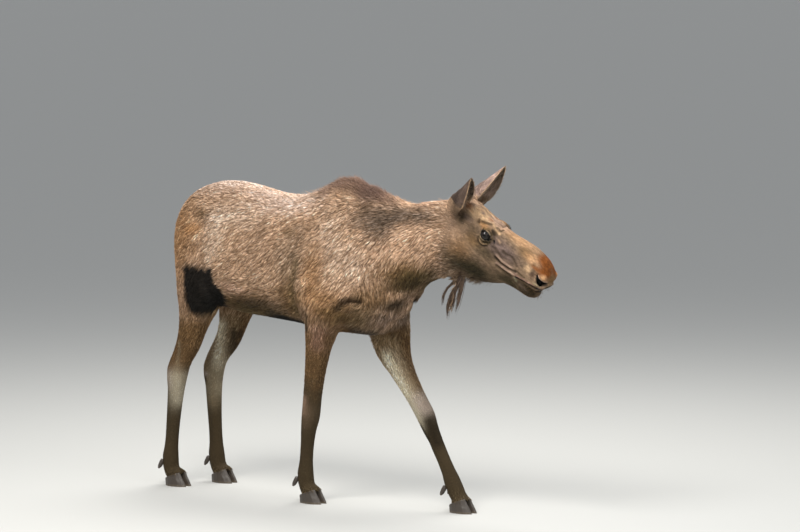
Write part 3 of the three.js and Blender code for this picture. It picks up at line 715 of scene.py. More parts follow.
# Rows: tone, place, radii, strength, how soft the edge is, side (0 both). The dark marks low on the flank,
# belly, chest and brisket are partly the coat's own darker underside and partly painted shade under the
# body.
bodyMarks = [
    ("ochre", (-1.06, 0.18, 1.38), (0.16, 0.20, 0.24), 0.80, 0.8, 0),
    ("umber", (-1.14, 0.10, 1.40), (0.05, 0.20, 0.26), 0.55, 0.9, 0),
    ("umber", (-0.87, 0.21, 1.52), (0.07, 0.10, 0.035), 0.65, 0.8, 0),
    ("gold", (-0.93, 0.22, 1.44), (0.08, 0.12, 0.05), 0.45, 0.9, 0),
    ("pale", (-0.76, 0.24, 1.42), (0.09, 0.16, 0.14), 0.85, 0.9, 0),
    ("pale", (-0.80, 0.24, 1.29), (0.035, 0.14, 0.07), 0.70, 0.9, 0),
    ("lavender", (-0.84, 0.00, 1.70), (0.42, 0.19, 0.09), 0.95, 0.9, 0),
    ("pale", (-0.62, 0.22, 1.53), (0.20, 0.14, 0.09), 0.75, 0.9, 0),
    ("lavender", (-0.35, 0.12, 1.62), (0.26, 0.16, 0.10), 0.95, 0.9, 0),
    ("umber", (-0.25, 0.21, 1.45), (0.06, 0.10, 0.028), 0.60, 0.8, 0),
    ("fawn", (-0.22, 0.22, 1.28), (0.09, 0.20, 0.22), 0.75, 0.9, 0),
    ("umber", (-0.22, 0.20, 1.06), (0.10, 0.20, 0.16), 0.80, 0.9, 0),
    ("umber", (-0.62, 0.20, 1.02), (0.44, 0.28, 0.14), 0.90, 0.9, 0),
    ("blush", (-0.66, 0.24, 1.13), (0.16, 0.16, 0.035), 0.55, 0.9, 0),
    ("olive", (-0.55, 0.16, 0.98), (0.38, 0.26, 0.08), 0.90, 0.7, 0),
    ("pale", (0.02, 0.21, 1.46), (0.10, 0.14, 0.14), 0.50, 0.9, 0),
    ("pale", (0.14, 0.21, 1.30), (0.14, 0.14, 0.14), 0.60, 0.9, 0),
    ("ochre", (-0.06, 0.24, 1.20), (0.08, 0.16, 0.22), 0.70, 0.8, 0),
    ("ochre", (0.02, 0.23, 1.10), (0.14, 0.16, 0.10), 0.80, 0.8, 0),
    ("umber", (0.10, 0.22, 1.02), (0.16, 0.18, 0.09), 0.85, 0.8, 0),
    ("mauve", (0.08, 0.00, 1.75), (0.28, 0.15, 0.11), 0.95, 0.7, 0),
    ("mauve", (0.26, 0.03, 1.69), (0.18, 0.11, 0.09), 0.95, 0.7, 0),
    ("mauve", (-0.14, 0.05, 1.69), (0.12, 0.09, 0.05), 0.60, 0.8, 0),
    ("slate", (0.22, 0.13, 1.56), (0.13, 0.12, 0.10), 0.80, 0.8, 0),
    ("slate", (0.33, 0.12, 1.50), (0.13, 0.12, 0.11), 0.75, 0.8, 0),
    ("slate", (0.48, 0.10, 1.57), (0.22, 0.12, 0.065), 0.92, 0.8, 0),
    ("sand", (0.54, 0.12, 1.46), (0.16, 0.10, 0.07), 0.90, 0.8, 0),
    ("sand", (0.40, 0.15, 1.36), (0.14, 0.10, 0.10), 0.60, 0.9, 0),
    ("blush", (0.52, 0.00, 1.66), (0.16, 0.08, 0.05), 0.75, 0.8, 0),
    ("umber", (0.46, 0.10, 1.25), (0.18, 0.13, 0.10), 0.88, 0.8, 0),
    ("olive", (0.56, 0.07, 1.22), (0.19, 0.11, 0.08), 0.92, 0.8, 0),
    ("umber", (0.28, 0.15, 1.12), (0.16, 0.16, 0.08), 0.75, 0.8, 0),
    ("olive", (0.22, 0.15, 1.00), (0.16, 0.18, 0.08), 0.70, 0.8, 0),
    ("lilac", (0.32, 0.10, 1.00), (0.09, 0.12, 0.06), 0.45, 0.9, 0),
    ("bark", (0.38, 0.09, 1.09), (0.07, 0.10, 0.04), 0.75, 0.8, 0),
    ("coal", (0.10, 0.03, 0.93), (0.28, 0.15, 0.06), 0.85, 0.7, 0),
    ("bark", (-0.48, 0.22, 1.055), (0.36, 0.20, 0.055), 0.50, 0.9, 0),
    ("bark", (0.34, 0.10, 1.04), (0.24, 0.18, 0.08), 0.40, 0.9, 0),
    ("bark", (0.52, 0.08, 1.20), (0.22, 0.12, 0.07), 0.45, 0.9, 0),
    ("bark", (0.67, 0.04, 1.27), (0.09, 0.10, 0.06), 0.50, 0.9, 0),
    # Near-black strip under the belly: painted shadow.
    ("blackSkinAndShade", (-0.36, 0.00, 0.940), (0.26, 0.30, 0.080), 0.97, 0.35, 0),
    ("pink", (-0.03, 0.22, 0.93), (0.09, 0.12, 0.045), 0.45, 0.8, -1),
]
# Painted shade along the body's creases and at the elbow. Rows: tone, path, half width in mm, strength, side
# (0 both).
bodyCreaseShade = [
    ("pitch", bodyCreases[0][0], 15, 0.97, -1),
    ("pitch", bodyCreases[1][0], 16, 0.95, 0),
    ("olive", bodyCreases[2][0], 30, 0.55, 0),
    ("olive", bodyCreases[3][0], 20, 0.50, 0),
    ("coal", [(-0.11, 0.24, 1.02), (-0.12, 0.22, 0.94)], 16, 0.80, -1),
]
# A near-black patch on each thigh under the flank: painted shadow of the flank fold.
thighShadow = {"tone": "blackSkinAndShade", "strength": 0.98}
thighShadowOutline = [(-0.985, 1.245), (-0.775, 1.235), (-0.765, 1.16), (-0.72, 1.09), (-0.73, 1.055),
                (-0.87, 0.955), (-0.93, 0.975), (-0.975, 1.03)]
headMarks = [
    ("moss", (0.22, 0.09, -0.235), (0.24, 0.12, 0.075), 0.92, 0.8, 0),
    ("moss", (0.42, 0.05, -0.165), (0.11, 0.08, 0.036), 0.90, 0.8, 0),
    ("ochre", (0.11, 0.12, -0.170), (0.09, 0.07, 0.07), 0.55, 0.9, 0),
    ("tan", (0.02, 0.11, -0.150), (0.07, 0.07, 0.07), 0.60, 0.9, 0),
    ("lilac", (-0.03, 0.10, -0.100), (0.05, 0.06, 0.05), 0.60, 0.8, 0),
    ("bark", (0.020, 0.10, -0.040), (0.060, 0.06, 0.060), 0.90, 0.8, 0),
    ("bark", (-0.030, 0.12, -0.010), (0.055, 0.07, 0.060), 0.85, 0.8, 0),
    # Dark spot in the hollow behind the eye: painted shade.
    ("bark", (0.125, 0.11, -0.054), (0.045, 0.06, 0.036), 0.60, 0.9, 0),
    ("umber", (0.160, 0.11, -0.090), (0.060, 0.06, 0.034), 0.65, 0.9, 0),
    ("lilac", (0.060, 0.10, -0.020), (0.030, 0.04, 0.016), 0.70, 0.8, 0),
    ("grape", (0.31, 0.08, -0.040), (0.13, 0.06, 0.055), 0.90, 0.7, 0),
    ("moss", (0.25, 0.10, -0.105), (0.07, 0.06, 0.030), 0.60, 0.8, 0),
    ("fawn", (0.31, 0.09, -0.160), (0.10, 0.06, 0.030), 0.40, 0.8, 0),
    ("cream", (0.070, 0.060, 0.018), (0.060, 0.040, 0.028), 0.85, 0.8, 0),
    ("clay", (0.015, 0.060, 0.030), (0.030, 0.030, 0.030), 0.80, 0.6, 0),
    ("fawn", (0.030, 0.030, 0.045), (0.040, 0.020, 0.020), 0.60, 0.8, 0),
    ("cream", (0.125, 0.040, 0.035), (0.070, 0.045, 0.030), 0.85, 0.8, 0),
    ("lilac", (0.099, 0.034, 0.040), (0.018, 0.015, 0.020), 0.80, 0.6, 0),
    ("shell", (0.195, 0.000, 0.040), (0.070, 0.060, 0.034), 0.90, 0.8, 0),
    ("clay", (0.156, 0.030, 0.038), (0.022, 0.016, 0.020), 0.70, 0.7, 0),
    ("gold", (0.158, 0.083, 0.004), (0.048, 0.030, 0.018), 0.70, 0.8, 0),
    # Dark spot in the hollow before the eye: painted shade.
    ("bark", (0.223, 0.074, 0.004), (0.026, 0.025, 0.015), 0.90, 0.6, 0),
    ("peach", (0.34, 0.02, 0.045), (0.16, 0.05, 0.03), 0.55, 0.9, 0),
    ("umber", (0.42, 0.055, 0.020), (0.06, 0.03, 0.030), 0.60, 0.8, 0),
    ("peach", (0.470, 0.055, 0.020), (0.055, 0.040, 0.026), 0.60, 0.9, 0),
    ("clay", (0.53, 0.01, 0.042), (0.060, 0.060, 0.035), 0.95, 0.6, 0),
    ("clay", (0.566, 0.04, 0.004), (0.050, 0.065, 0.036), 0.95, 0.7, 0),
    ("umber", (0.604, 0.00, -0.010), (0.022, 0.050, 0.045), 0.90, 0.6, 0),
    ("cream", (0.482, 0.082, -0.026), (0.024, 0.03, 0.024), 0.75, 0.9, 0),
    ("plum", (0.524, 0.085, -0.034), (0.024, 0.04, 0.026), 0.75, 0.9, 0),
    ("clay", (0.515, 0.072, 0.002), (0.035, 0.03, 0.012), 0.80, 0.9, 0),
    ("peach", (0.576, 0.066, -0.013), (0.024, 0.024, 0.013), 0.85, 0.8, 0),
    ("ash", (0.571, 0.088, -0.061), (0.026, 0.03, 0.010), 0.85, 0.6, 0),
    ("moss", (0.606, 0.00, -0.076), (0.020, 0.055, 0.018), 0.90, 0.5, 0),
    ("bark", (0.530, 0.045, -0.138), (0.085, 0.080, 0.038), 0.95, 0.5, 0),
    # Black gap between the lips: painted shade.
    ("blackSkinAndShade", (0.582, 0.020, -0.112), (0.028, 0.050, 0.014), 0.95, 0.5, 0),
    ("slate", (0.500, 0.055, -0.138), (0.040, 0.03, 0.016), 0.80, 0.7, 0),
]
# Lines on the face. The dark lines follow its creases and are painted shade; the cream and shell lines along
# the brow, cheek and eye-bag ridges are painted highlights; the lilac, pink, sage and olive lines and the
# pale rim over the nostril are its own colours.
headLines = [
    ("pitch", browLines["spot"], 7.2, 0.98, 0),
    ("bark", browLines["dark"], 5.2, 0.98, 0),
    ("cream", browLines["pale"], 5, 0.85, 0),
    ("bark", browLines["upper"], 5.2, 0.98, 0),
    ("bark", browLines["short"], 5.2, 0.92, 0),
    ("bark", browLines["front"], 4.5, 0.86, 0),
    ("lilac", [(0.275, 0.086, -0.035), (0.319, 0.078, -0.030), (0.343, 0.076, -0.034),
               (0.375, 0.074, -0.052)], 6, 0.60, 0),
    ("bark", cheekLines["high"], 6.5, 0.80, 0),
    ("bark", cheekLines["tear"], 7.8, 0.63, 0),
    ("shell", [(0.300, 0.083, -0.078), (0.350, 0.079, -0.088), (0.400, 0.074, -0.086),
               (0.445, 0.072, -0.094)], 6, 0.60, 0),
    ("pitch", cheekLines["fold"], 7.8, 0.98, 0),
    ("shell", [(0.322, 0.080, -0.116), (0.377, 0.074, -0.115), (0.402, 0.071, -0.112),
               (0.432, 0.069, -0.108)], 6, 0.75, 0),
    ("bark", cheekLines["low"], 10.4, 0.75, 0),
    ("bark", cheekLines["lip"], 5.2, 0.69, 0),
    ("olive", bags["rim"], 9, 0.60, 0),
    ("cream", bags["rim"], 3, 0.60, 0),
    ("pitch", bags["crease"], 5.9, 0.98, 0),
    ("pitch", bags["under"], 5.9, 0.75, 0),
    ("cream", [(0.262, 0.082, -0.012), (0.278, 0.080, -0.018)], 6, 0.35, 0),
    ("pink", [(0.440, 0.070, -0.104), (0.469, 0.070, -0.101), (0.516, 0.080, -0.086),
              (0.560, 0.085, -0.077), (0.590, 0.070, -0.078), (0.603, 0.037, -0.085)], 7, 0.85, 0),
    ("sage", [(0.442, 0.060, -0.124), (0.456, 0.055, -0.134)], 6, 0.55, 0),
    ("shell", [(0.552, 0.081, -0.018), (0.572, 0.080, -0.028), (0.590, 0.070, -0.032),
               (0.604, 0.048, -0.033)], 4, 0.90, 0),
]
# Lines round the lids. Rows: tone, how far past the opening on the upper and the lower lid, width,
# strength, and how far the line fades out over the middle of the eye.
lidLines = [
    ("ash", 0.0068, 0.0085, 0.0026, 0.65, 0),
    ("olive", 0.019, 0.019, 0.006, 0.5, 0.012),
    # The coal line lies in the folds of the lids: painted shade.
    ("coal", 0.0115, 0.0190, 0.0023, 0.85, 0),
]
# Leg patches. Rows: leg, tone, path down the leg, half width in mm, strength.
legLines = [
    ("front_left", "bone", [(0.215, 0.056, 0.78), (0.287, 0.078, 0.648), (0.37, 0.078, 0.548),
                            (0.42, 0.08, 0.46)],
     44, 0.98),
    ("front_left", "cloud", [(0.40, 0.08, 0.58), (0.455, 0.08, 0.52)], 40, 0.65),
    ("front_left", "bark", [(0.478, 0.08, 0.47), (0.53, 0.08, 0.36)], 34, 0.90),
    ("front_left", "coal", [(0.425, 0.08, 0.44), (0.47, 0.08, 0.37)], 14, 0.80),
    ("front_right", "blush", [(-0.158, -0.16, 0.56), (-0.165, -0.16, 0.49)], 22, 0.75),
    ("front_right", "fawn", [(-0.14, -0.18, 0.50), (-0.16, -0.18, 0.44)], 40, 0.55),
    ("front_right", "pink", [(-0.03, -0.22, 0.94), (-0.06, -0.2, 0.86)], 40, 0.40),
    # Pale mark on the back of the right hock: painted highlight.
    ("hind_right", "cloud", [(-1.165, -0.15, 0.615), (-1.155, -0.15, 0.56)], 26, 0.75),
    ("hind_right", "bone", [(-1.11, -0.16, 0.60), (-1.12, -0.15, 0.49)], 54, 0.70),
    ("hind_right", "ash", [(-1.075, -0.17, 0.80), (-1.10, -0.17, 0.66)], 16, 0.50),
    ("hind_left", "bone", [(-1.011, 0.087, 0.88), (-1.048, 0.093, 0.683), (-1.078, 0.092, 0.52)], 40, 0.85),
    ("hind_left", "ash", [(-1.07, 0.09, 0.60), (-1.09, 0.09, 0.46)], 48, 0.85),
    ("hind_left", "cloud", [(-1.13, 0.10, 0.605), (-1.12, 0.10, 0.60)], 12, 0.80),
    ("hind_left", "pitch", [(-1.137, 0.09, 0.572), (-1.13, 0.09, 0.56)], 10, 0.80),
    ("hind_left", "coal", [(-0.93, 0.11, 0.84), (-0.97, 0.10, 0.70), (-1.02, 0.10, 0.58)], 30, 0.70),
]


# The two edges of each ear. Rows: place along it, half-width, how far forward the edges stand.
earRows = [(0.0, 0.050, 0.034), (0.22, 0.055, 0.038), (0.45, 0.054, 0.037), (0.7, 0.042, 0.027),
           (0.88, 0.024, 0.013),
           (1.0, 0.007, 0.003)]
# The far (left) ear is painted lighter and the near (right) ear darker: painted light and shade.
earLightAndShade = {"left": 1.8, "right": 0.42}
earEdges = []
for word, side in (("left", 1), ("right", -1)):
    flip = np.array([1, side, 1])
    root, tip = earRoot * flip, earTips[word] * flip
    up = unit(tip - root)
    opening = earOpening * flip
    opening = unit(opening - (opening @ up) * up)
    across = np.cross(up, opening)
    for turn in (1, -1):
        earEdges.append([root + (tip - root) * place + across * wide * turn + opening * fore
                         for place, wide, fore in earRows])


def insidePolygon(x, z, outline):
    inside = np.zeros(len(x), bool)
    for (ax, az), (bx, bz) in zip(outline, outline[1:] + outline[:1]):
        crosses = (az > z) != (bz > z)
        edge = ax + (z - az) / np.where(bz == az, 1e-9, bz - az) * (bx - ax)
        inside ^= crosses & (x < edge)
    return inside


def blendMarks(colour, points, marks, ragged, within):
    for tone, place, radii, strength, soft, side in marks:
        away = np.sqrt((((mirrored(points, side) - place) / radii) ** 2).sum(axis=1)) + ragged
        share = strength * smooth(1 + soft * 0.5, 1 - soft, away) * within
        colour += (linear(tones[tone]) - colour) * share[:, None]


def drawLines(colour, points, rows, within):
    for tone, path, width, strength, side in rows:
        away, _ = besidePath(mirrored(points, side), path)
        share = strength * np.exp(-((away / (width / 1000)) ** 2)) * within
        colour += (linear(tones[tone]) - colour) * share[:, None]


# The coat's colour at each point, linear, and how bare the skin is, from its place and facing.
def markingsAt(points, normals, bare):
    colour = np.repeat(linear(tones["tan"])[None], len(points), axis=0)
    streak = noise(points * (0.5, 1, 1), 0.035, 3) - 0.5
    blotch = noise(points, 0.11, 4) - 0.5
    ragged = 0.35 * streak + 0.2 * blotch
    onHead = headShare(points)
    blendMarks(colour, points, bodyMarks, ragged, 1 - onHead)
    # Surfaces of the body that face down are darkened: painted shade.
    colour *= 1 - 0.25 * ((1 - onHead) * smooth(0.1, -0.9, normals[:, 2]))[:, None]
    for name, joints in legs.items():
        joints = np.array(joints)
        front = name.startswith("front")
        side = 1 if name.endswith("left") else -1
        away, along = alongPath(points, joints)
        near = smooth(0.20, 0.11, away) * smooth(1.02, 0.88, points[:, 2])
        near = near * (points[:, 1] * side > -0.02)
        down = along * 3
        dark = smooth(0.75, 1.35, down + 0.3 * streak)
        tone = linear(tones["umber"]) * (1 - dark[:, None]) + linear(tones["dusk"]) * dark[:, None]
        colour += (tone - colour) * (near * 0.92)[:, None]
        # Painted light and shade on the legs: faces turned forward, and on the hind legs also backward, are
        # darkened, and the inner faces of the upper legs are lightened towards ash.
        edge = smooth(0.25, 0.9, normals[:, 0]) if front else smooth(0.1, 0.9, np.abs(normals[:, 0]))
        shade = near * edge * smooth(1.5, 0.8, down) * 0.30
        colour *= 1 - shade[:, None]
        paintedLightInside = smooth(0.2, 0.8, -side * normals[:, 1]) * near * smooth(1.3, 0.9, down) * 0.35
        colour += (linear(tones["ash"]) - colour) * paintedLightInside[:, None]
        for leg, tone, path, width, strength in legLines:
            if leg == name:
                away, _ = alongPath(points * (1, 0.35, 1), np.array(path) * (1, 0.35, 1))
                away = away + 0.010 * (noise(points, 0.02, 8) - 0.5)
                share = strength * np.exp(-((away / (width / 1000)) ** 2)) * near
                colour += (linear(tones[tone]) - colour) * share[:, None]
    drawLines(colour, points, bodyCreaseShade, 1 - onHead)
    # The thigh patch below is painted shadow under the flank.
    ragX = points[:, 0] + 0.012 * streak + 0.02 * (noise(points, 0.03, 6) - 0.5)
    ragZ = points[:, 2] + 0.03 * (noise(points, 0.02, 5) - 0.5)
    patch = np.zeros(len(points))
    for shift, drop in ((-0.009, 0.004), (0.003, -0.010), (0.008, 0.012), (0.0, 0.024)):
        patch += insidePolygon(ragX + shift, ragZ + drop, thighShadowOutline) / 4
    patch *= (normals[:, 1] * np.sign(points[:, 1]) > 0.1) * thighShadow["strength"]
    patch *= smooth(0.93, 1.00, points[:, 2] + 0.03 * streak)
    colour += (linear(tones[thighShadow["tone"]]) - colour) * patch[:, None]
    local = intoHead(points)
    colour += (linear(tones["fawn"]) - colour) * (onHead * 0.9 * smooth(0.02, 0.14, local[:, 0]))[:, None]
    blendMarks(colour, local, headMarks, ragged * 0.6, onHead)
    drawLines(colour, local, headLines, onHead)
    fleck = noise(local * (0.35, 1, 1), 0.006, 9) - 0.5
    colour *= np.exp((-0.34 + 0.9 * fleck) * onHead)[:, None]
    # Ears: grey brown outside, dark within, with a pale base and pale edges, the edges a painted rim light.
    along, inside = earPlace(points, normals)
    onEar = smooth(0.12, 0.24, along)
    stripe = noise(local * (1, 1, 0.2), 0.007, 10) - 0.5
    # Painted light on the far ear, painted shade on the near ear.
    shade = np.where(local[:, 1] > 0, earLightAndShade["left"], earLightAndShade["right"])
    back = linear(tones["grape"]) * (shade * np.exp(1.2 * stripe))[:, None]
    colour += (back - colour) * (onEar * 0.9)[:, None]
    within = linear(tones["moss"]) * (0.7 * shade * np.exp(2.2 * stripe))[:, None]
    colour += (within - colour) * (onEar * inside * 0.95)[:, None]
    base = smooth(0.42, 0.2, along) * (along > 0.1) * inside
    colour += (linear(tones["cream"]) - colour) * (base * 0.6)[:, None]
    rim = np.full(len(points), np.inf)
    for path in earEdges:
        rim = np.minimum(rim, alongPath(local, path)[0])
    colour += (linear(tones["cream"]) * 0.8 - colour) * (onEar * smooth(0.009, 0.003, rim) * 0.75)[:, None]
    # Lid margins, nostrils and the mouth line are bare and dark.
    outwards = mirrored(local, 0)
    fromEye = np.linalg.norm(outwards - eyeMiddle, axis=1)
    past, upper = pastLids(outwards)
    nearEye = onHead * (fromEye < 0.068)
    sideways = np.abs((outwards - eyeMiddle) @ slitWay)
    for tone, above, below, width, strength, gap in lidLines:
        share = ridge(past, np.where(upper, above, below), width) * nearEye
        if gap:
            share *= smooth(0.0, gap, sideways)
        colour += (linear(tones[tone]) - colour) * (share * strength)[:, None]
    margin = lids["margin"] * (1 + 0.7 * smooth(0.010, 0.024, sideways))
    bare = np.maximum(bare, smooth(margin + 0.0014, margin - 0.0006, past) * nearEye)
    colour += (linear(tones["blackSkinAndShade"]) - colour) * bare[:, None]
    return colour * (1 + 0.25 * blotch)[:, None], bare


def nodeTree(name):
    material = bpy.data.materials.new(name)
    material.use_nodes = True
    tree = material.node_tree
    surface = next(node for node in tree.nodes if node.type == "BSDF_PRINCIPLED")
    return material, tree, surface


def attributeNode(tree, name):
    node = tree.nodes.new("ShaderNodeAttribute")
    node.attribute_name = name
    return node


# Fine variation laid over a coat colour: a strand-like streak, also given out as a height.
def strandGroup():
    group = bpy.data.node_groups.new("strands", "ShaderNodeTree")
    face = group.interface
    face.new_socket("Colour", in_out="INPUT", socket_type="NodeSocketColor")
    face.new_socket("Stretch", in_out="INPUT", socket_type="NodeSocketVector")
    face.new_socket("Depth", in_out="INPUT", socket_type="NodeSocketFloat")
    face.new_socket("Colour", in_out="OUTPUT", socket_type="NodeSocketColor")
    face.new_socket("Height", in_out="OUTPUT", socket_type="NodeSocketFloat")
    use = group.nodes
    inlet = use.new("NodeGroupInput")
    outlet = use.new("NodeGroupOutput")
    place = use.new("ShaderNodeTexCoord")
    scale = use.new("ShaderNodeVectorMath")
    scale.operation = "MULTIPLY"
    fine = use.new("ShaderNodeTexNoise")
    fine.inputs["Scale"].default_value = 1.0
    fine.inputs["Detail"].default_value = 3.0
    low = use.new("ShaderNodeMapRange")
    low.inputs["To Min"].default_value = 0.62
    low.inputs["To Max"].default_value = 1.38
    tint = use.new("ShaderNodeMix")
    tint.data_type = "RGBA"
    tint.blend_type = "MULTIPLY"
    tint.inputs["Factor"].default_value = 1.0
    link = group.links.new
    link(place.outputs["Object"], scale.inputs[0])
    link(inlet.outputs["Stretch"], scale.inputs[1])
    link(scale.outputs["Vector"], fine.inputs["Vector"])
    link(fine.outputs["Fac"], low.inputs["Value"])
    link(inlet.outputs["Colour"], tint.inputs["A"])
    link(low.outputs["Result"], tint.inputs["B"])
    link(tint.outputs["Result"], outlet.inputs["Colour"])
    link(fine.outputs["Fac"], outlet.inputs["Height"])
    return group


strands = strandGroup()


def skinMaterial():
    material, tree, surface = nodeTree("skin")
    link = tree.links.new
    colour = attributeNode(tree, "coatColour")
    bare = attributeNode(tree, "bareSkin")
    streaks = tree.nodes.new("ShaderNodeGroup")
    streaks.node_tree = strands
    streaks.inputs["Stretch"].default_value = (90, 320, 160)
    bump = tree.nodes.new("ShaderNodeBump")
    bump.inputs["Strength"].default_value = 0.6
    bump.inputs["Distance"].default_value = 0.004
    rough = tree.nodes.new("ShaderNodeMapRange")
    rough.inputs["To Min"].default_value = 0.9
    rough.inputs["To Max"].default_value = 0.35
    link(colour.outputs["Color"], streaks.inputs["Colour"])
    link(streaks.outputs["Colour"], surface.inputs["Base Color"])
    link(streaks.outputs["Height"], bump.inputs["Height"])
    link(bump.outputs["Normal"], surface.inputs["Normal"])
    link(bare.outputs["Fac"], rough.inputs["Value"])
    link(rough.outputs["Result"], surface.inputs["Roughness"])
    surface.inputs["Specular IOR Level"].default_value = 0.15
    return material


def coatMaterial():
    material, tree, surface = nodeTree("coat")
    link = tree.links.new
    colour = attributeNode(tree, "coatColour")
    streaks = tree.nodes.new("ShaderNodeGroup")
    streaks.node_tree = strands
    streaks.inputs["Stretch"].default_value = (150, 150, 150)
    link(colour.outputs["Color"], streaks.inputs["Colour"])
    link(streaks.outputs["Colour"], surface.inputs["Base Color"])
    surface.inputs["Roughness"].default_value = 0.66
    surface.inputs["Specular IOR Level"].default_value = 0.2
    return material


skinLook = skinMaterial()
coatLook = coatMaterial()


def setColour(mesh, colour):
    layer = mesh.attributes.new("coatColour", "FLOAT_COLOR", "POINT")
    full = np.concatenate([np.clip(colour, 0, 1), np.ones((len(colour), 1))], axis=1)
    layer.data.foreach_set("color", full.astype(np.float32).ravel())


def setValue(mesh, name, value):
    layer = mesh.attributes.new(name, "FLOAT", "POINT")
    layer.data.foreach_set("value", value.astype(np.float32))


skin = writeMesh("skin", skinPoints, skinFaces, skinLook)
skinColour, bareSkin = markingsAt(skinPoints, skinNormals, skinBare)
# The skin under the body coat is darkened: painted shade of the hair over it.
coatShade = 0.45 + 0.50 * smooth(0.4, 0.9, headShare(skinPoints))
setColour(skin.data, skinColour * coatShade[:, None])
setValue(skin.data, "bareSkin", bareSkin)
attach(skin, "root")
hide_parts(*flesh)
print("skin: done")

coatMake = {"seed": 7, "clumpEvery": 7, "width": 0.0038, "patch": 0.003, "streak": 0.27, "broad": 0.05,
            "lock": 0.08, "own": 0.24, "gain": 1.32}
chance = np.random.default_rng(coatMake["seed"])


# Roots spread over the skin by a density for each triangle: points, normals, how bare it is.
def rootsOn(density, count):
    a, b, c = (skinPoints[skinFaces[:, i]] for i in range(3))
    area = np.linalg.norm(np.cross(b - a, c - a), axis=1) / 2 * density
    edges = np.concatenate([[0], np.cumsum(area)])
    spot = (np.arange(count) + chance.random(count)) / count * edges[-1]
    face = np.clip(np.searchsorted(edges, spot, side="right") - 1, 0, len(area) - 1)
    u, v = chance.random(count), chance.random(count)
    over = u + v > 1
    u[over], v[over] = 1 - u[over], 1 - v[over]
    weights = np.stack([1 - u - v, u, v], axis=1)
    corners = skinFaces[face]
    points = (skinPoints[corners] * weights[:, :, None]).sum(axis=1)
    normals = unit((skinNormals[corners] * weights[:, :, None]).sum(axis=1))
    bare = (skinBare[corners] * weights).sum(axis=1)
    return points, normals, bare


# Closed three-sided strands along given paths, drawn in to a point at the last place of each.
def strandMesh(paths, widths, normals):
    count, places = paths.shape[:2]
    rings = places - 1
    forward = unit(np.gradient(paths, axis=1))
    across = unit(np.cross(forward, normals[:, None, :]))
    top = np.cross(across, forward)
    share = np.arange(rings) / rings
    wide = widths[:, None] / 2 * (1 - 0.35 * share**2)[None]
    body = paths[:, :rings]
    left = body - across[:, :rings] * wide[:, :, None]
    right = body + across[:, :rings] * wide[:, :, None]
    high = body + top[:, :rings] * wide[:, :, None] * 0.7
    levels = np.stack([left, right, high], axis=2).reshape(count, rings * 3, 3)
    points = np.concatenate([levels, paths[:, -1:]], axis=1)
    size = rings * 3 + 1
    pattern = [(0, 1, 2)]
    for ring in range(rings - 1):
        low, high = ring * 3, ring * 3 + 3
        for i, j in ((0, 1), (1, 2), (2, 0)):
            pattern += [(low + j, low + i, high + i), (low + j, high + i, high + j)]
    last = (rings - 1) * 3
    pattern += [(last + j, last + i, size - 1) for i, j in ((0, 1), (1, 2), (2, 0))]
    along = np.concatenate([np.repeat(share, 3), [1.0]])
    return points, np.array(pattern), along


# A flat place for each root: round and along the body, the head, an ear or a leg.
def unwrapShape(points):
    local = intoHead(points)
    onHead = headShare(points) > 0.5
    u = (points[:, 0] + 1.3) / 2.6
    v = np.arctan2(points[:, 1], points[:, 2] - 1.33) / (2 * np.pi) + 0.5
    flat = np.stack([u * 0.6, v * 0.6], axis=1)
    around = np.arctan2(local[:, 1], local[:, 2] + 0.1) / (2 * np.pi) + 0.5
    flat[onHead] = np.stack([0.62 + 0.36 * (local[:, 0] + 0.1) / 0.75, around * 0.5], axis=1)[onHead]
    for index, joints in enumerate(legs.values()):
        joints = np.array(joints)
        away, along = alongPath(points, joints)
        here = (away < 0.14) & (points[:, 2] < joints[0, 2])
        rising = joints[::-1]
        middle = np.stack([np.interp(points[:, 2], rising[:, 2], rising[:, k]) for k in (0, 1)], axis=1)
        around = np.arctan2(points[:, 1] - middle[:, 1], points[:, 0] - middle[:, 0]) / (2 * np.pi) + 0.5
        flat[here] = np.stack([0.02 + 0.24 * index + 0.2 * around, 0.64 + 0.34 * along], axis=1)[here]
    onEar = local[:, 2] > 0.06
    earSide = (local[:, 1] > 0) * 1.0
    spread = np.stack([0.64 + 0.18 * earSide + 1.2 * (local[:, 0] + 0.06),
                       0.52 + 0.5 * (local[:, 2] - 0.06)], axis=1)
    flat[onEar] = spread[onEar]
    return np.clip(flat, 0.002, 0.994)


# One piece of coat from strands: their points, the faces of one, how far along each point is.
def coatPiece(name, points, pattern, along, roots, colour):
    count, size = points.shape[:2]
    faces = (np.arange(count)[:, None, None] * size + pattern[None]).reshape(-1, 3)
    piece = writeMesh(name, points.reshape(-1, 3), faces, coatLook)
    setColour(piece.data, colour.reshape(-1, 3))
    shape = np.stack([np.resize([0.0, 1.0, 0.5], size), along], axis=1) * coatMake["patch"]
    flat = (unwrapShape(roots)[:, None, :] + shape[None]).reshape(-1, 2)
    layer = piece.data.uv_layers.new(name="OFBake")
    layer.data.foreach_set("uv", flat[faces.ravel()].astype(np.float32).ravel())
    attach(piece, "root")
    return piece


# Locks near each other lean to one tip and share a shade: the number of each lock's leader.
def leaders(roots, every):
    centres = np.arange(0, len(roots), every)
    tree = KDTree(len(centres))
    for i, k in enumerate(centres):
        tree.insert(roots[k], i)
    tree.balance()
    owner = np.array([tree.find(root)[1] for root in roots])
    return centres[owner]


# Light and dark streaks that run with the hair, about -2 to 2.
def streaksAt(points, ways, size, reach, seed):
    steps = np.linspace(-reach, reach, 5)
    total = sum(noise(points + step * ways, size, seed) for step in steps) / len(steps)
    return np.clip((total - 0.5) / 0.105, -2.4, 2.4)


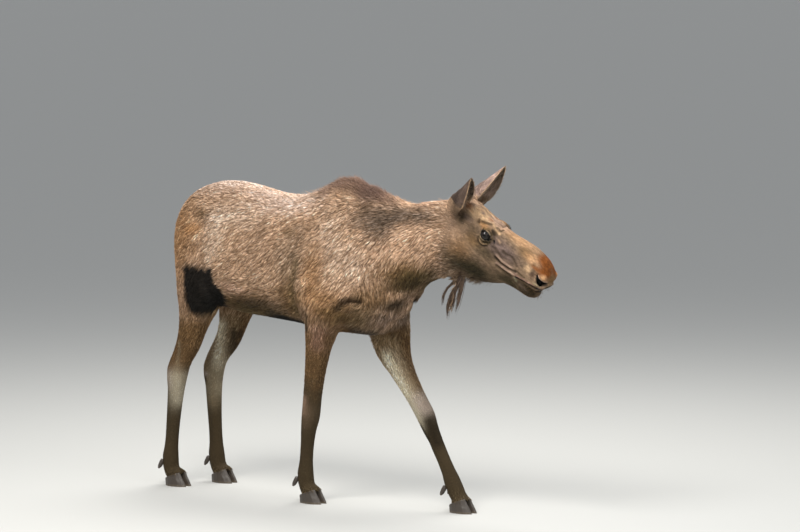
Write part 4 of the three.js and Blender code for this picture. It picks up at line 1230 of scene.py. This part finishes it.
def lieOn(roots, normals):
    ways, lengths, rises = coatAt(roots)
    count = len(roots)
    swirl = (noise(roots, 0.06, 11) - 0.5) * 0.40 + (noise(roots, 0.02, 12) - 0.5) * 0.35
    swirl += chance.normal(0, 0.06, count)
    ways = unit(ways - (ways * normals).sum(axis=1)[:, None] * normals)
    side = np.cross(normals, ways)
    ways = ways * np.cos(swirl)[:, None] + side * np.sin(swirl)[:, None]
    return ways, lengths, rises


# Shade of each lock from the streaks it lies in, its leader and its own chance: light ones paler.
def lockColours(roots, normals, bare, ways, lengths, owner, along, layer):
    base, bare = markingsAt(roots + ways * lengths[:, None] * 0.45, normals, bare)
    count = len(roots)
    size, reach = (0.0035, 0.009) if np.median(lengths) < 0.02 else (0.0055, 0.016)
    shade = coatMake["streak"] * streaksAt(roots, ways, size, reach, 21)
    shade += coatMake["broad"] * streaksAt(roots, ways, 0.020, 0.05, 22)
    shade += coatMake["lock"] * chance.normal(0, 1, count)[owner]
    shade += coatMake["own"] * chance.normal(0, 1, count)
    shade *= layer["spread"]
    paler = np.exp(shade[:, None] * np.array([-0.10, 0.0, 0.16]))
    hue = 1 + 0.02 * chance.normal(0, 1, count)[:, None] * np.array([1.0, 0.1, -1.0])
    # Each lock runs from dark at its root to light at its tip: painted shade deep in the coat.
    run = layer["root"] + (layer["tip"] - layer["root"]) * along**0.8
    tone = base * hue * paler * np.exp(shade)[:, None] * coatMake["gain"]
    return tone[:, None, :] * run[None, :, None], bare


# How near the deep folds of the body a point is: the hair is short there.
def creaseShare(points):
    share = np.zeros(len(points))
    for path, _, _, side in bodyCreases[:2]:
        away, _ = alongPath(mirrored(points, side), path)
        share = np.maximum(share, np.exp(-((away / 0.030) ** 2)))
    return share


# One layer of coat over a density for each triangle, parted into pieces by the keys of its roots.
def growCoat(label, layer, density, keysAt):
    count = layer["count"]
    roots, normals, bare = rootsOn(density, count)
    ways, lengths, rises = lieOn(roots, normals)
    lengths = lengths * chance.uniform(0.75, 1.15, count) * (1 - 0.6 * creaseShare(roots))
    rises = rises * chance.uniform(0.7, 1.3, count) * layer["lift"]
    owner = leaders(roots, coatMake["clumpEvery"])
    lean = (roots[owner] + ways[owner] * lengths[owner][:, None]) - (roots + ways * lengths[:, None])
    lean -= (lean * normals).sum(axis=1)[:, None] * normals
    reach = np.linalg.norm(lean, axis=1)
    hold = np.minimum(1, lengths * 0.35 / np.maximum(reach, 1e-6)) * layer["pull"]
    lean *= (hold * chance.uniform(0.5, 1, count))[:, None]
    widths = coatMake["width"] * layer["width"] * np.clip(lengths / 0.038, 0.35, 1.25)
    widths = widths * chance.uniform(0.75, 1.2, count)
    share = np.linspace(0, 1, layer["rings"] + 1)
    rise = rises[:, None] * (1 - 0.6 * share)[None]
    flat = ways[:, None, :] * np.cos(rise)[:, :, None] + normals[:, None, :] * np.sin(rise)[:, :, None]
    paths = roots[:, None, :] + flat * (lengths[:, None] * share[None])[:, :, None]
    paths += lean[:, None, :] * (share**2)[None, :, None]
    paths[:, 0] -= normals * 0.0012
    points, pattern, along = strandMesh(paths, widths, normals)
    colour, bare = lockColours(roots, normals, bare, ways, lengths, owner, along, layer)
    keys = keysAt(roots)
    for key in np.unique(keys):
        chosen = (keys == key) & (bare < 0.25)
        coatPiece(f"{label}_{key}", points[chosen], pattern, along, roots[chosen], colour[chosen])
    print("coat:", label, count, "locks")


faceCentres = skinPoints[skinFaces].mean(axis=1)
_, faceLengths, _ = coatAt(faceCentres)
longHair = smooth(0.016, 0.026, faceLengths)
faceOnHead = headShare(faceCentres)

bodyCoat = {"count": 96000, "rings": 2, "width": 1.0, "pull": 0.55, "lift": 1.0, "spread": 1.0, "root": 0.42,
            "tip": 1.22}
guardCoat = {"count": 5000, "rings": 2, "width": 0.40, "pull": 0.1, "lift": 1.9, "spread": 0.5, "root": 0.9,
             "tip": 1.3}
shortCoat = {"count": 86000, "rings": 1, "width": 0.8, "pull": 0.2, "lift": 1.0, "spread": 0.9, "root": 0.72,
             "tip": 1.16}
stretches = [-0.95, -0.65, -0.38, -0.10, 0.16, 0.50]

growCoat("coatBody", bodyCoat, longHair * (1 + 0.5 * smooth(0.05, 0.08, faceLengths)),
         lambda at: np.digitize(at[:, 0], stretches) * 2 + (at[:, 1] > 0))
growCoat("coatGuard", guardCoat, longHair, lambda at: (at[:, 0] > -0.4) * 1)
growCoat("coatShort", shortCoat, (1 - longHair) * (1 + 1.2 * faceOnHead) + 0.08,
         lambda at: (headShare(at) > 0.5) * 1)


# Tufts given by their root, way, length and bend, each hair a strand of its own.
def hairPiece(name, roots, normals, ways, lengths, drop, widths, colour, rings=4, fade=(0.6, 1.1)):
    count = len(roots)
    share = np.linspace(0, 1, rings + 1)
    paths = roots[:, None, :] + ways[:, None, :] * (lengths[:, None] * share[None])[:, :, None]
    fall = (lengths[:, None] * share[None] ** 2)[:, :, None] * drop[:, None, :]
    points, pattern, along = strandMesh(paths + fall, widths, normals)
    # Darker towards the root: painted shade among the hairs.
    run = fade[0] + (fade[1] - fade[0]) * along
    tone = colour * np.exp(0.18 * chance.normal(0, 1, count))[:, None]
    coatPiece(name, points, pattern, along, roots, tone[:, None, :] * run[None, :, None])


def growMane():
    mane = {"count": 4800, "length": (0.062, 0.092), "width": 0.0024}
    centre = np.array([0.12, 0.0, 1.74])
    density = np.exp(-(((faceCentres - centre) / (0.19, 0.055, 0.09)) ** 2).sum(axis=1))
    roots, normals, bare = rootsOn(density, mane["count"])
    ways, _, _ = lieOn(roots, normals)
    lift = chance.uniform(0.45, 1.1, mane["count"])
    ways = unit(ways + normals * lift[:, None] + chance.normal(0, 0.10, (mane["count"], 3)))
    lengths = chance.uniform(*mane["length"], mane["count"])
    lengths *= 0.50 + 0.50 * np.exp(-(((roots - centre) / (0.16, 0.06, 0.2)) ** 2).sum(axis=1))
    base, _ = markingsAt(roots, normals, bare)
    drop = np.repeat(np.array([[-0.30, 0, -0.10]]), mane["count"], axis=0)
    widths = mane["width"] * chance.uniform(0.7, 1.2, mane["count"])
    hairPiece("mane", roots, normals, ways, lengths, drop, widths, base, rings=3)


def growBell():
    bellHair = {"width": 0.0022, "tone": (92, 76, 64)}
    # Wisps: the line each hangs along as forward and up, its spread at the end, how many hairs.
    wisps = [
        ([(0.759, 1.250), (0.758, 1.232), (0.745, 1.176), (0.726, 1.124), (0.700, 1.080)], 0.004, 50),
        ([(0.740, 1.258), (0.726, 1.225), (0.700, 1.176), (0.690, 1.128), (0.674, 1.092)], 0.006, 110),
        ([(0.735, 1.258), (0.722, 1.222), (0.672, 1.151), (0.652, 1.090), (0.650, 1.044)], 0.005, 70),
        ([(0.727, 1.252), (0.692, 1.222), (0.646, 1.185), (0.624, 1.146), (0.614, 1.098)], 0.004, 40),
        ([(0.747, 1.253), (0.722, 1.212), (0.698, 1.171), (0.674, 1.136), (0.664, 1.110)], 0.009, 90),
        ([(0.752, 1.250), (0.742, 1.210), (0.728, 1.170), (0.720, 1.140), (0.708, 1.120)], 0.006, 40),
    ]
    paths, roots = [], []
    for line, loose, count in wisps:
        line = np.array([(x, 0.031, z) for x, z in line])
        share = np.linspace(0, 1, len(line))[None, :, None]
        start = chance.normal(0, (0.006, 0.005, 0.003), (count, 1, 3))
        end = chance.normal(0, 1, (count, 1, 3)) * (loose, 0.005, 0.014)
        paths.append(line[None] + start * (1 - share) + end * share**2)
        roots.append(paths[-1][:, 0])
    paths, roots = np.concatenate(paths), np.concatenate(roots)
    count = len(roots)
    normals = unit(chance.normal(0, 1, (count, 3)) * (1, 1, 0.1))
    widths = bellHair["width"] * chance.uniform(0.6, 1.2, count)
    points, pattern, along = strandMesh(paths, widths, normals)
    tone = linear(bellHair["tone"]) * np.exp(0.40 * chance.normal(0, 1, count))[:, None]
    tone = tone[:, None, :] * (0.8 + 0.4 * along)[None, :, None]
    coatPiece("bellHair", points, pattern, along, roots, tone)


# Spiky hair hanging back under the jaw.
def growFringe():
    fringe = {"count": 420, "length": (0.018, 0.040), "width": 0.0020, "place": (0.250, 0.0, -0.310),
              "radii": (0.080, 0.045, 0.035)}
    local = mirrored(intoHead(faceCentres), 0)
    away = (((local - fringe["place"]) / fringe["radii"]) ** 2).sum(axis=1)
    low = np.exp(-away) * faceOnHead
    roots, normals, bare = rootsOn(low, fringe["count"])
    ways, _, _ = lieOn(roots, normals)
    ways = unit(ways + normals * 0.8 + chance.normal(0, 0.12, roots.shape))
    base, _ = markingsAt(roots, normals, bare)
    lengths = chance.uniform(*fringe["length"], len(roots))
    drop = np.repeat(np.array([[-0.2, 0, -0.1]]), len(roots), axis=0)
    widths = fringe["width"] * chance.uniform(0.7, 1.2, len(roots))
    hairPiece("jawFringe", roots, normals, ways, lengths, drop, widths, base * 1.3, rings=3)


# The way from an ear's root to its tip.
def earWay(word):
    flip = np.array([1, 1 if word == "left" else -1, 1])
    return headTurn @ (unit(earTips[word] - earRoot) * flip)


# Soft hair inside the ears, longest at their roots.
def growEarHair():
    along, inside = earPlace(faceCentres, normalsOf(skinPoints, skinFaces)[skinFaces[:, 0]])
    here = (along > 0.14) & (along < 0.97)
    ear = {"count": 2600, "length": (0.014, 0.030), "width": 0.0013}
    roots, normals, _ = rootsOn(here * inside * (1.2 - along), ear["count"])
    place, _ = earPlace(roots, normals)
    up = np.where(roots[:, 1:2] > 0.04, earWay("left"), earWay("right"))
    ways = unit(up + normals * 0.55 + chance.normal(0, 0.16, (ear["count"], 3)))
    lengths = chance.uniform(*ear["length"], ear["count"]) * (1.15 - 0.6 * np.clip(place, 0, 1))
    tone = linear(tones["pale"]) * (0.75 - 0.45 * np.clip(place, 0, 1))[:, None]
    widths = ear["width"] * chance.uniform(0.7, 1.2, ear["count"])
    hairPiece("earHair", roots, normals, ways, lengths, up * 0.2, widths, tone, rings=3)


# Lashes on the upper lids and bristles round the muzzle and chin, on both sides.
def growBristles():
    lash = {"count": 50, "length": 0.011, "width": 0.0009}
    for word, side in (("left", 1), ("right", -1)):
        flip = np.array([1, side, 1])
        u = np.linspace(-0.92, 0.92, lash["count"]) * lids["half"]
        v = lids["upper"] * np.clip(1 - (u / lids["half"]) ** 2, 0, 1) ** 0.55 + 0.0012
        depth = np.sqrt(np.maximum((eyeRadius + 0.0042) ** 2 - u**2 - v**2, 0))
        local = eyeMiddle + u[:, None] * slitWay + v[:, None] * slitUp + depth[:, None] * gaze
        ways = unit(gaze - slitUp * 0.15 + u[:, None] / lids["half"] * slitWay * 0.5
                    + chance.normal(0, 0.08, (lash["count"], 3)))
        roots = fromHead(local * flip)
        turned = (ways * flip) @ headTurn.T
        drop = np.repeat((headTurn @ (slitUp * flip) * 0.45)[None], lash["count"], axis=0)
        lengths = lash["length"] * chance.uniform(0.7, 1.1, lash["count"])
        widths = np.full(lash["count"], lash["width"])
        tone = np.repeat(linear(tones["pitch"])[None], lash["count"], axis=0)
        hairPiece("lashes_" + word, roots, drop, turned, lengths, drop, widths, tone)
    bristle = {"count": 150, "length": 0.020, "width": 0.0008}
    local = intoHead(faceCentres)
    muzzle = (np.abs(local[:, 2] + 0.115) < 0.045) & (local[:, 0] > 0.50)
    roots, normals, _ = rootsOn(muzzle * 1.0, bristle["count"])
    ways, _, _ = lieOn(roots, normals)
    ways = unit(ways * 0.4 + normals + chance.normal(0, 0.2, roots.shape))
    drop = np.repeat(np.array([[0, 0, -0.3]]), bristle["count"], axis=0)
    lengths = bristle["length"] * chance.uniform(0.5, 1, len(roots))
    widths = np.full(len(roots), bristle["width"])
    tone = np.repeat(linear(tones["umber"])[None], len(roots), axis=0)
    hairPiece("bristles", roots, ways[:, [1, 2, 0]], ways, lengths, drop, widths, tone)


growMane()
growBell()
growFringe()
growEarHair()
growBristles()
print("coat: mane, bell, ears and bristles")


eyeMake = {"turns": 48, "rings": 40, "cornea": 0.0016, "iris": 0.62, "pupil": (0.42, 0.24),
           "dark": (15, 10, 7), "brown": (30, 19, 12)}


def eyeMaterial():
    material, tree, surface = nodeTree("eye")
    colour = attributeNode(tree, "coatColour")
    tree.links.new(colour.outputs["Color"], surface.inputs["Base Color"])
    surface.inputs["Roughness"].default_value = 0.12
    surface.inputs["IOR"].default_value = 1.36
    surface.inputs["Specular IOR Level"].default_value = 0.25
    surface.inputs["Coat Weight"].default_value = 0.35
    surface.inputs["Coat Roughness"].default_value = 0.03
    return material


def makeEye(word, side, look):
    flip = np.array([1, side, 1])
    polar = np.linspace(0, np.pi, eyeMake["rings"] + 1)[1:-1]
    turn = np.arange(eyeMake["turns"]) / eyeMake["turns"] * 2 * np.pi
    polar, turn = (grid.ravel() for grid in np.meshgrid(polar, turn, indexing="ij"))
    polar = np.concatenate([[0], polar, [np.pi]])
    turn = np.concatenate([[0], turn, [0]])
    ways = (np.cos(polar)[:, None] * gaze + (np.sin(polar) * np.cos(turn))[:, None] * slitWay
            + (np.sin(polar) * np.sin(turn))[:, None] * slitUp)
    radius = eyeRadius + eyeMake["cornea"] * smooth(0.75, 0.2, polar)
    points = fromHead((eyeMiddle + ways * radius[:, None]) * flip)
    faces = []
    turns, rings = eyeMake["turns"], eyeMake["rings"] - 1
    for i in range(turns):
        j = (i + 1) % turns
        faces.append((0, 1 + i, 1 + j))
        last = 1 + (rings - 1) * turns
        faces.append((last + i, len(points) - 1, last + j))
        for ring in range(rings - 1):
            low, high = 1 + ring * turns, 1 + (ring + 1) * turns
            faces += [(low + i, high + i, high + j), (low + i, high + j, low + j)]
    faces = np.array(faces)
    outward = normalsOf(points, faces)
    if (outward[0] @ (points[0] - points.mean(axis=0))) < 0:
        faces = faces[:, ::-1]
    u, v = (ways @ slitWay), (ways @ slitUp)
    spread = np.sqrt(u**2 + v**2)
    colour = np.repeat(linear(eyeMake["dark"])[None], len(points), axis=0)
    iris = smooth(eyeMake["iris"] + 0.03, eyeMake["iris"] - 0.03, spread) * (polar < 1.6)
    fibre = 0.75 + 0.5 * noise(ways * (1, 1, 1), 0.08, 31)
    colour += (linear(eyeMake["brown"]) * fibre[:, None] - colour) * iris[:, None]
    rim = ridge(spread, eyeMake["iris"], 0.04) * (polar < 1.6)
    colour *= 1 - 0.8 * rim[:, None]
    wide, high = eyeMake["pupil"]
    pupil = smooth(1.1, 0.9, np.sqrt((u / wide) ** 2 + (v / high) ** 2)) * (polar < 1.6)
    colour *= 1 - 0.96 * pupil[:, None]
    piece = writeMesh("eye_" + word + "_ball", points, faces, look)
    setColour(piece.data, colour)
    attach(piece, "root")
    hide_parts("eye_" + word)


eyeLook = eyeMaterial()
makeEye("left", 1, eyeLook)
makeEye("right", -1, eyeLook)
print("eyes: done")


hoofMake = {"voxel": 0.0028, "rings": 0.0065, "depth": 0.0005, "raise": 0.014, "draw": 0.16,
            "tone": (62, 54, 46), "worn": (118, 104, 84)}


# Horn: dark grey brown, streaked down its length, banded across, worn paler at the ground.
def hornMaterial():
    material, tree, surface = nodeTree("horn")
    link = tree.links.new
    colour = attributeNode(tree, "coatColour")
    streaks = tree.nodes.new("ShaderNodeGroup")
    streaks.node_tree = strands
    streaks.inputs["Stretch"].default_value = (260, 260, 40)
    bump = tree.nodes.new("ShaderNodeBump")
    bump.inputs["Strength"].default_value = 0.35
    bump.inputs["Distance"].default_value = 0.001
    link(colour.outputs["Color"], streaks.inputs["Colour"])
    link(streaks.outputs["Colour"], surface.inputs["Base Color"])
    link(streaks.outputs["Height"], bump.inputs["Height"])
    link(bump.outputs["Normal"], surface.inputs["Normal"])
    surface.inputs["Roughness"].default_value = 0.42
    return material


def makeHorn(name, look):
    low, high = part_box(name)
    hoof = "hoof" in name
    points, faces = readMesh(remeshed([name], hoofMake["voxel"] * (1 if hoof else 0.8), 0.0))
    points = relax(points, faces, np.full(len(points), 3.0))
    normals = normalsOf(points, faces)
    middle = np.array((low + high) / 2)
    height = (points[:, 2] - low[2]) / (high[2] - low[2])
    if hoof:
        top = smooth(0.55, 1.0, height)
        points[:, :2] += (middle[:2] - points[:, :2]) * (hoofMake["draw"] * top)[:, None]
        points[:, 2] += hoofMake["raise"] * top
        points[:, 2] -= (1 - smooth(0, 0.12, height)) * (points[:, 2] - low[2])
    slope = points[:, 2] - 0.25 * (points[:, 0] - middle[0])
    rings = np.sin(slope / hoofMake["rings"] * 2 * np.pi + 3 * noise(points, 0.03, 40))
    side = smooth(0.75, 0.4, np.abs(normals[:, 2]))
    points += normals * (rings * side * hoofMake["depth"])[:, None]
    colour = np.repeat(linear(hoofMake["tone"])[None], len(points), axis=0)
    worn = smooth(0.25, 0.0, height) * (0.5 + 0.5 * noise(points, 0.008, 41))
    colour += (linear(hoofMake["worn"]) - colour) * (worn * 0.6)[:, None]
    colour *= (1 + 0.18 * rings * side)[:, None]
    piece = writeMesh(name + "_horn", points, faces, look)
    setColour(piece.data, colour)
    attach(piece, "root")
    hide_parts(name)


hornLook = hornMaterial()
for name in sorted(nodes):
    if "hoof" in name or "dewclaw" in name:
        makeHorn(name, hornLook)
print("hooves: done")


def plainMaterial(name, tone, rough):
    material, _, surface = nodeTree(name)
    surface.inputs["Base Color"].default_value = (*linear(tone), 1)
    surface.inputs["Roughness"].default_value = rough
    return material


def studioFloor():
    half = 240.0
    corners = np.array([(-half, -half, 0.0), (half, -half, 0.0), (half, half, 0.0), (-half, half, 0.0)])
    matte = plainMaterial("floor", (186, 186, 182), 0.9)
    floor = writeMesh("floor", corners, np.array([(0, 1, 2, 3)]), matte)


# The view: the direction it is seen from, its distance, its centre and its scale.
view = {"azimuth": 40, "elevation": 5, "distance": 20.0, "aim": (-0.4449, 0.0, 0.9),
        "right": 0.6108, "up": 0.3439, "lens": 166.5}


def setCamera():
    azimuth, elevation = math.radians(view["azimuth"]), math.radians(view["elevation"])
    right = Vector((math.cos(azimuth), math.sin(azimuth), 0))
    back = Vector((math.sin(azimuth) * math.cos(elevation), -math.cos(azimuth) * math.cos(elevation),
                   math.sin(elevation)))
    up = back.cross(right)
    data = bpy.data.cameras.new("camera")
    data.lens = view["lens"]
    data.sensor_width = 36
    data.clip_end = 500
    camera = bpy.data.objects.new("camera", data)
    shift = right * view["right"] + up * view["up"]
    camera.location = Vector(view["aim"]) + back * view["distance"] + shift
    camera.rotation_euler = (math.pi / 2 - elevation, 0, azimuth)
    scene.collection.objects.link(camera)
    scene.camera = camera


def addLight(name, turn, height, size, power, tone):
    data = bpy.data.lights.new(name, "AREA")
    data.shape = "DISK"
    data.size = size
    data.energy = power
    data.color = tone
    light = bpy.data.objects.new(name, data)
    turn = math.radians(turn)
    rise = math.radians(height)
    way = Vector((math.sin(turn) * math.cos(rise), -math.cos(turn) * math.cos(rise), math.sin(rise)))
    light.location = Vector((0, 0, 1.2)) + way * 6
    light.rotation_euler = way.to_track_quat("Z", "Y").to_euler()
    scene.collection.objects.link(light)


studioFloor()
setCamera()
addLight("key", 12, 52, 3.0, 420, (1.0, 0.97, 0.93))
addLight("fill", 75, 25, 6.0, 150, (0.95, 0.97, 1.0))
addLight("rim", 210, 60, 4.0, 330, (1.0, 0.98, 0.95))
world = bpy.data.worlds.new("studio")
world.use_nodes = True
world.node_tree.nodes["Background"].inputs["Color"].default_value = (0.92, 0.95, 1.0, 1)
world.node_tree.nodes["Background"].inputs["Strength"].default_value = 0.55
scene.world = world
scene.view_settings.view_transform = "Standard"
